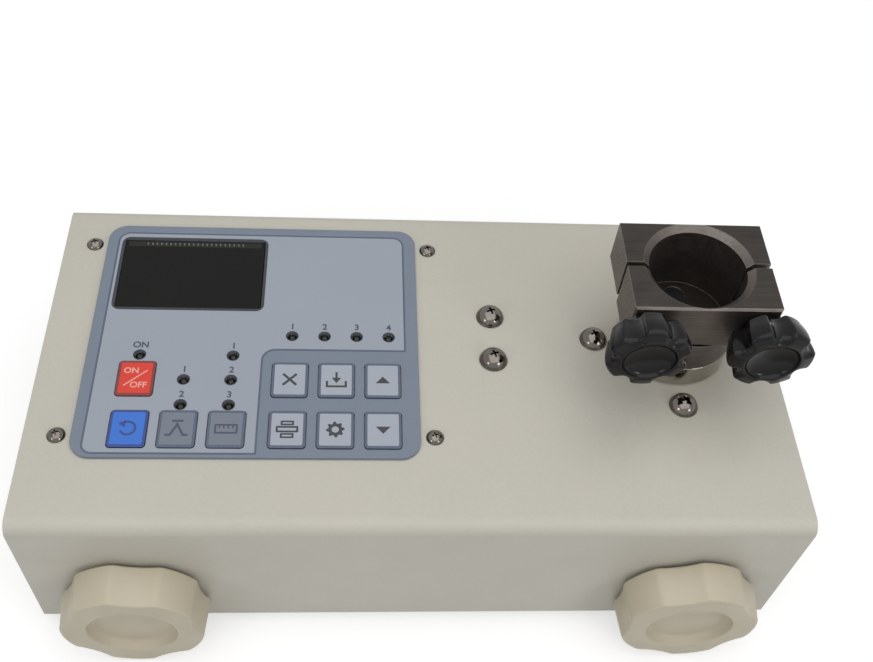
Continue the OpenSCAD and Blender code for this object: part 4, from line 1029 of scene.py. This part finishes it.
def clamp_knob(side):
    """A glossy six-lobed knob: soft lobes, a raised face rim and a deep round bowl."""
    node = "clamp_knob_" + side
    axis = centre_mm("clamp_screw_" + side)
    back_y = box_mm(node)[1].y
    reach, length, lobes, hollow_r, hollow_depth, soft = 11.4, 11.4, 6, 3.6, 2.0, 0.9
    hole_r, collar_r, collar_t, chamfer, fillet = 2.3, 6.5, 2.0, 0.3, 0.5
    draft, edge, crown, rim, rim_drop = 1.4, 1.4, 0.5, 0.4, 0.24
    bowl_r, bowl_depth = 7.2, 2.8
    first = math.pi / lobes if side == "left" else 0.0

    def outline(angle):
        return lobe_radius(angle - first, reach, lobes, hollow_r, hollow_depth, soft)

    def centre_of(x, y, height):
        return Vector((axis.x + x, back_y - height, axis.z + y))

    profile = [(0, hole_r, 0.0), (0, collar_r - chamfer, 0.0), (0, collar_r, chamfer),
               (0, collar_r, collar_t - fillet), (0, collar_r + fillet, collar_t)]
    profile += [(1, -edge * (1 - math.sin(a)) - draft, collar_t + edge * (1 - math.cos(a)))
                for a in quarter(5)]
    side_low, side_top = collar_t + edge, length - edge - crown
    profile += [(1, -draft * (1 - share) ** 2, side_low + (side_top - side_low) * share)
                for share in (0.25, 0.5, 0.75, 1.0)]
    profile += [(1, -edge * (1 - math.cos(a)), side_top + edge * math.sin(a))
                for a in quarter(6, 1)]
    profile += [(1 - share, -edge * (1 - share) + (bowl_r + rim) * share,
                 length - crown * (1 - share) ** 2) for share in (0.3, 0.6, 0.85)]
    profile += [(0, bowl_r + rim * (1 - math.sin(a)), length - rim_drop * (1 - math.cos(a)))
                for a in quarter(4)]
    profile += [(0, bowl_r * math.cos(a), length - rim_drop - (bowl_depth - rim_drop) * math.sin(a))
                for a in quarter(7, 1)[:-1]]
    mesh = loft(knob_rings(profile, outline, centre_of, 192), node, smooth_deg=60)
    return make_piece(node + "_moulded", mesh, body_of(node), "black_plastic",
                      SLOTS["black_plastic"], [node])


# Faces of the jaws that look up more than this are tops, which get a painted dark reflection
TOP_NORMAL = 0.9


def dress_chuck():
    """Ground jaws with tops painted darker as a painted dark reflection and bright edges, the
    polished flange, and the clamp knobs.
    """
    for node in ("chuck_body", "front_jaw"):
        jaw = refined(node, 0.22, materials=[SLOTS["gunmetal"], JAW_TOP_PAINTED_DARK_REFLECTION], segments=3)
        for face in jaw.data.polygons:
            # Faces that look up get the painted dark reflection
            face.material_index = 1 if face.normal.z > TOP_NORMAL else 0
    refined("torque_shaft", 0.3, segments=3)
    refined("chuck_screws", 0.1)
    for side in ("left", "right"):
        refined("clamp_screw_" + side, 0.3)
        clamp_knob(side)


def dress_sockets():
    """The rear sockets: bright shell and locks round black mouldings."""
    shell = [SLOTS["zinc_sheet"], DULL_BLACK]
    rear = box_mm("top_cover")[1].y

    def serial_pick(low, high):
        """The moulding is known by its width and height."""
        wide = high.x - low.x
        return 1 if 15 < wide < 20 and high.z - low.z > 9 else 0

    def jack_pick(low, high):
        """What reaches out of the rear wall is matt black."""
        return 1 if high.y > rear else 0

    refined("serial_socket", 0.12, serial_pick, shell)
    refined("charging_socket", 0.2, jack_pick, shell)


def dress_inside():
    """Boards, cells and the torque head inside the housing, each with rounded edges."""
    def part_pick(low, high):
        """Tall parts are capacitors, small cubes are connectors, and the rest are chips."""
        size = high - low
        if size.z > 10:
            return 2
        if 5 < size.x < 7 and 5 < size.z < 7:
            return 1
        return 0

    refined("main_board_parts", 0.15, part_pick, [DULL_BLACK, WHITE_PLASTIC, CAN_BLUE])
    refined("display_board_parts", 0.15, materials=DULL_BLACK)
    refined("key_switches", 0.1, materials=DULL_BLACK)
    for node, width in (("main_board", 0.1), ("display_board", 0.1), ("battery_strap", 0.2),
                        ("battery_cells", 0.6), ("head_plate", 0.3), ("reaction_plate", 0.3),
                        ("amplifier_box", 0.4), ("plate_pillars", 0.3), ("torsion_bar", 0.2),
                        ("bearing_clip", 0.1), ("shaft_bolts", 0.2), ("board_sleeves", 0.1),
                        ("panel_nuts", 0.15)):
        refined(node, width)


def finish_the_rest():
    """Gives every CAD node that still shows its own finish."""
    for node, source in frame["nodes"].items():
        slot = slot_of(node)
        source.material_slots[0].material = SLOTS[slot]


# The stage: a pale floor, soft lamps and the camera, in metres

FLOOR_SIZE, FLOOR_DROP = 4.0, 0.0002
FLOOR_TONE, FLOOR_GLOW = 0.68, 0.5
# Distances between which the floor fades to white
FADE_FROM, FADE_TO = 0.16, 0.45
SKY = 0.18
# What the lamps face
AIM = Vector((0, 0, 0.05))


def make_floor():
    """A plain pale floor that shows white to the camera and keeps the object's shadow."""
    bm = bmesh.new()
    bmesh.ops.create_grid(bm, x_segments=1, y_segments=1, size=FLOOR_SIZE)
    floor = bpy.data.objects.new("floor", mesh_of(bm, "floor"))
    bpy.context.scene.collection.objects.link(floor)
    floor.location.z = -FLOOR_DROP
    material = bpy.data.materials.new("floor_pale")
    material.use_nodes = True
    nodes, links = material.node_tree.nodes, material.node_tree.links
    shader = nodes["Principled BSDF"]
    shader.inputs["Base Color"].default_value = (FLOOR_TONE, FLOOR_TONE, FLOOR_TONE, 1)
    shader.inputs["Roughness"].default_value = 0.9
    shader.inputs["Specular IOR Level"].default_value = 0.0
    seen = seen_rays(nodes, links)
    near = nodes.new("ShaderNodeAddShader")
    links.new(shader.outputs["BSDF"], near.inputs[0])
    links.new(glow_of(nodes, links, seen, FLOOR_GLOW), near.inputs[1])
    distance = nodes.new("ShaderNodeVectorMath")
    distance.operation = "LENGTH"
    links.new(nodes.new("ShaderNodeTexCoord").outputs["Object"], distance.inputs[0])
    far = nodes.new("ShaderNodeMapRange")
    far.inputs["From Min"].default_value = FADE_FROM
    far.inputs["From Max"].default_value = FADE_TO
    links.new(distance.outputs["Value"], far.inputs["Value"])
    fade = nodes.new("ShaderNodeMath")
    fade.operation = "MULTIPLY"
    links.new(far.outputs["Result"], fade.inputs[0])
    links.new(seen, fade.inputs[1])
    whole = nodes.new("ShaderNodeMixShader")
    links.new(fade.outputs["Value"], whole.inputs["Fac"])
    links.new(near.outputs["Shader"], whole.inputs[1])
    links.new(glow_of(nodes, links, seen, 1.0), whole.inputs[2])
    links.new(whole.outputs["Shader"], nodes["Material Output"].inputs["Surface"])
    floor.data.materials.append(material)


def seen_rays(nodes, links):
    """1 for what is seen directly, mirrored or through clear parts, 0 for the light on surfaces."""
    rays = nodes.new("ShaderNodeLightPath")
    seen = rays.outputs["Is Camera Ray"]
    for kind in ("Is Glossy Ray", "Is Transmission Ray"):
        either = nodes.new("ShaderNodeMath")
        either.operation = "MAXIMUM"
        links.new(seen, either.inputs[0])
        links.new(rays.outputs[kind], either.inputs[1])
        seen = either.outputs["Value"]
    return seen


def glow_of(nodes, links, seen, strength):
    """White light of that strength, for the rays that see it only."""
    share = nodes.new("ShaderNodeMath")
    share.operation = "MULTIPLY"
    share.inputs[1].default_value = strength
    links.new(seen, share.inputs[0])
    glow = nodes.new("ShaderNodeEmission")
    links.new(share.outputs["Value"], glow.inputs["Strength"])
    return glow.outputs["Emission"]


def make_world():
    """An even white sky: soft for the object, full white where it is seen or mirrored."""
    world = bpy.data.worlds.new("studio")
    bpy.context.scene.world = world
    world.use_nodes = True
    nodes, links = world.node_tree.nodes, world.node_tree.links
    sky = nodes["Background"]
    sky.inputs["Color"].default_value = (1.0, 1.0, 1.0, 1)
    strength = nodes.new("ShaderNodeMapRange")
    strength.inputs["To Min"].default_value = SKY
    strength.inputs["To Max"].default_value = 1.0
    links.new(seen_rays(nodes, links), strength.inputs["Value"])
    links.new(strength.outputs["Result"], sky.inputs["Strength"])


def make_lamp(name, size, power, azimuth, elevation, distance=1.1):
    """A square soft box that faces the object. Azimuth 0 is in front and 90 on the right."""
    light = bpy.data.lights.new(name, "AREA")
    light.shape = "SQUARE"
    light.size = size
    light.energy = power
    lamp = bpy.data.objects.new(name, light)
    bpy.context.scene.collection.objects.link(lamp)
    a, e = math.radians(azimuth), math.radians(elevation)
    way = Vector((math.sin(a) * math.cos(e), -math.cos(a) * math.cos(e), math.sin(e)))
    lamp.location = AIM + way * distance
    lamp.rotation_euler = (-way).to_track_quat("-Z", "Y").to_euler()


def make_camera():
    """The photograph's viewpoint: high in front of the tester and a little to its left."""
    data = bpy.data.cameras.new("camera")
    data.lens = 44.82
    data.sensor_width = 36
    camera = bpy.data.objects.new("camera", data)
    bpy.context.scene.collection.objects.link(camera)
    camera.location = (-0.01916, -0.18407, 0.30693)
    camera.rotation_euler = Euler((0.657094804, -0.0714554937, -0.0369877811), "XYZ")
    bpy.context.scene.camera = camera


def make_stage():
    make_floor()
    make_world()
    make_lamp("lamp_left", 0.28, 1.15, -50, 24)
    make_lamp("lamp_right", 0.28, 1.45, 42, 24)
    make_lamp("lamp_above", 2.0, 17.4, 10, 82, 1.3)
    make_camera()
    bpy.context.scene.view_settings.view_transform = "Standard"


dress_housing()
dress_feet()
dress_film()
dress_lamps()
dress_labels()
for key_name in LEFT_KEYS + RIGHT_KEYS:
    dress_key(key_name)
dress_display()
dress_screws("dome_screws", 4.1, 3.5, 2.0, (3.2, 0.75, 1.3))
dress_screws("panel_screws", 2.45, 1.7, 1.25, (2.5, 0.55, 0.8))
dress_chuck()
dress_sockets()
dress_inside()
finish_the_rest()
make_stage()
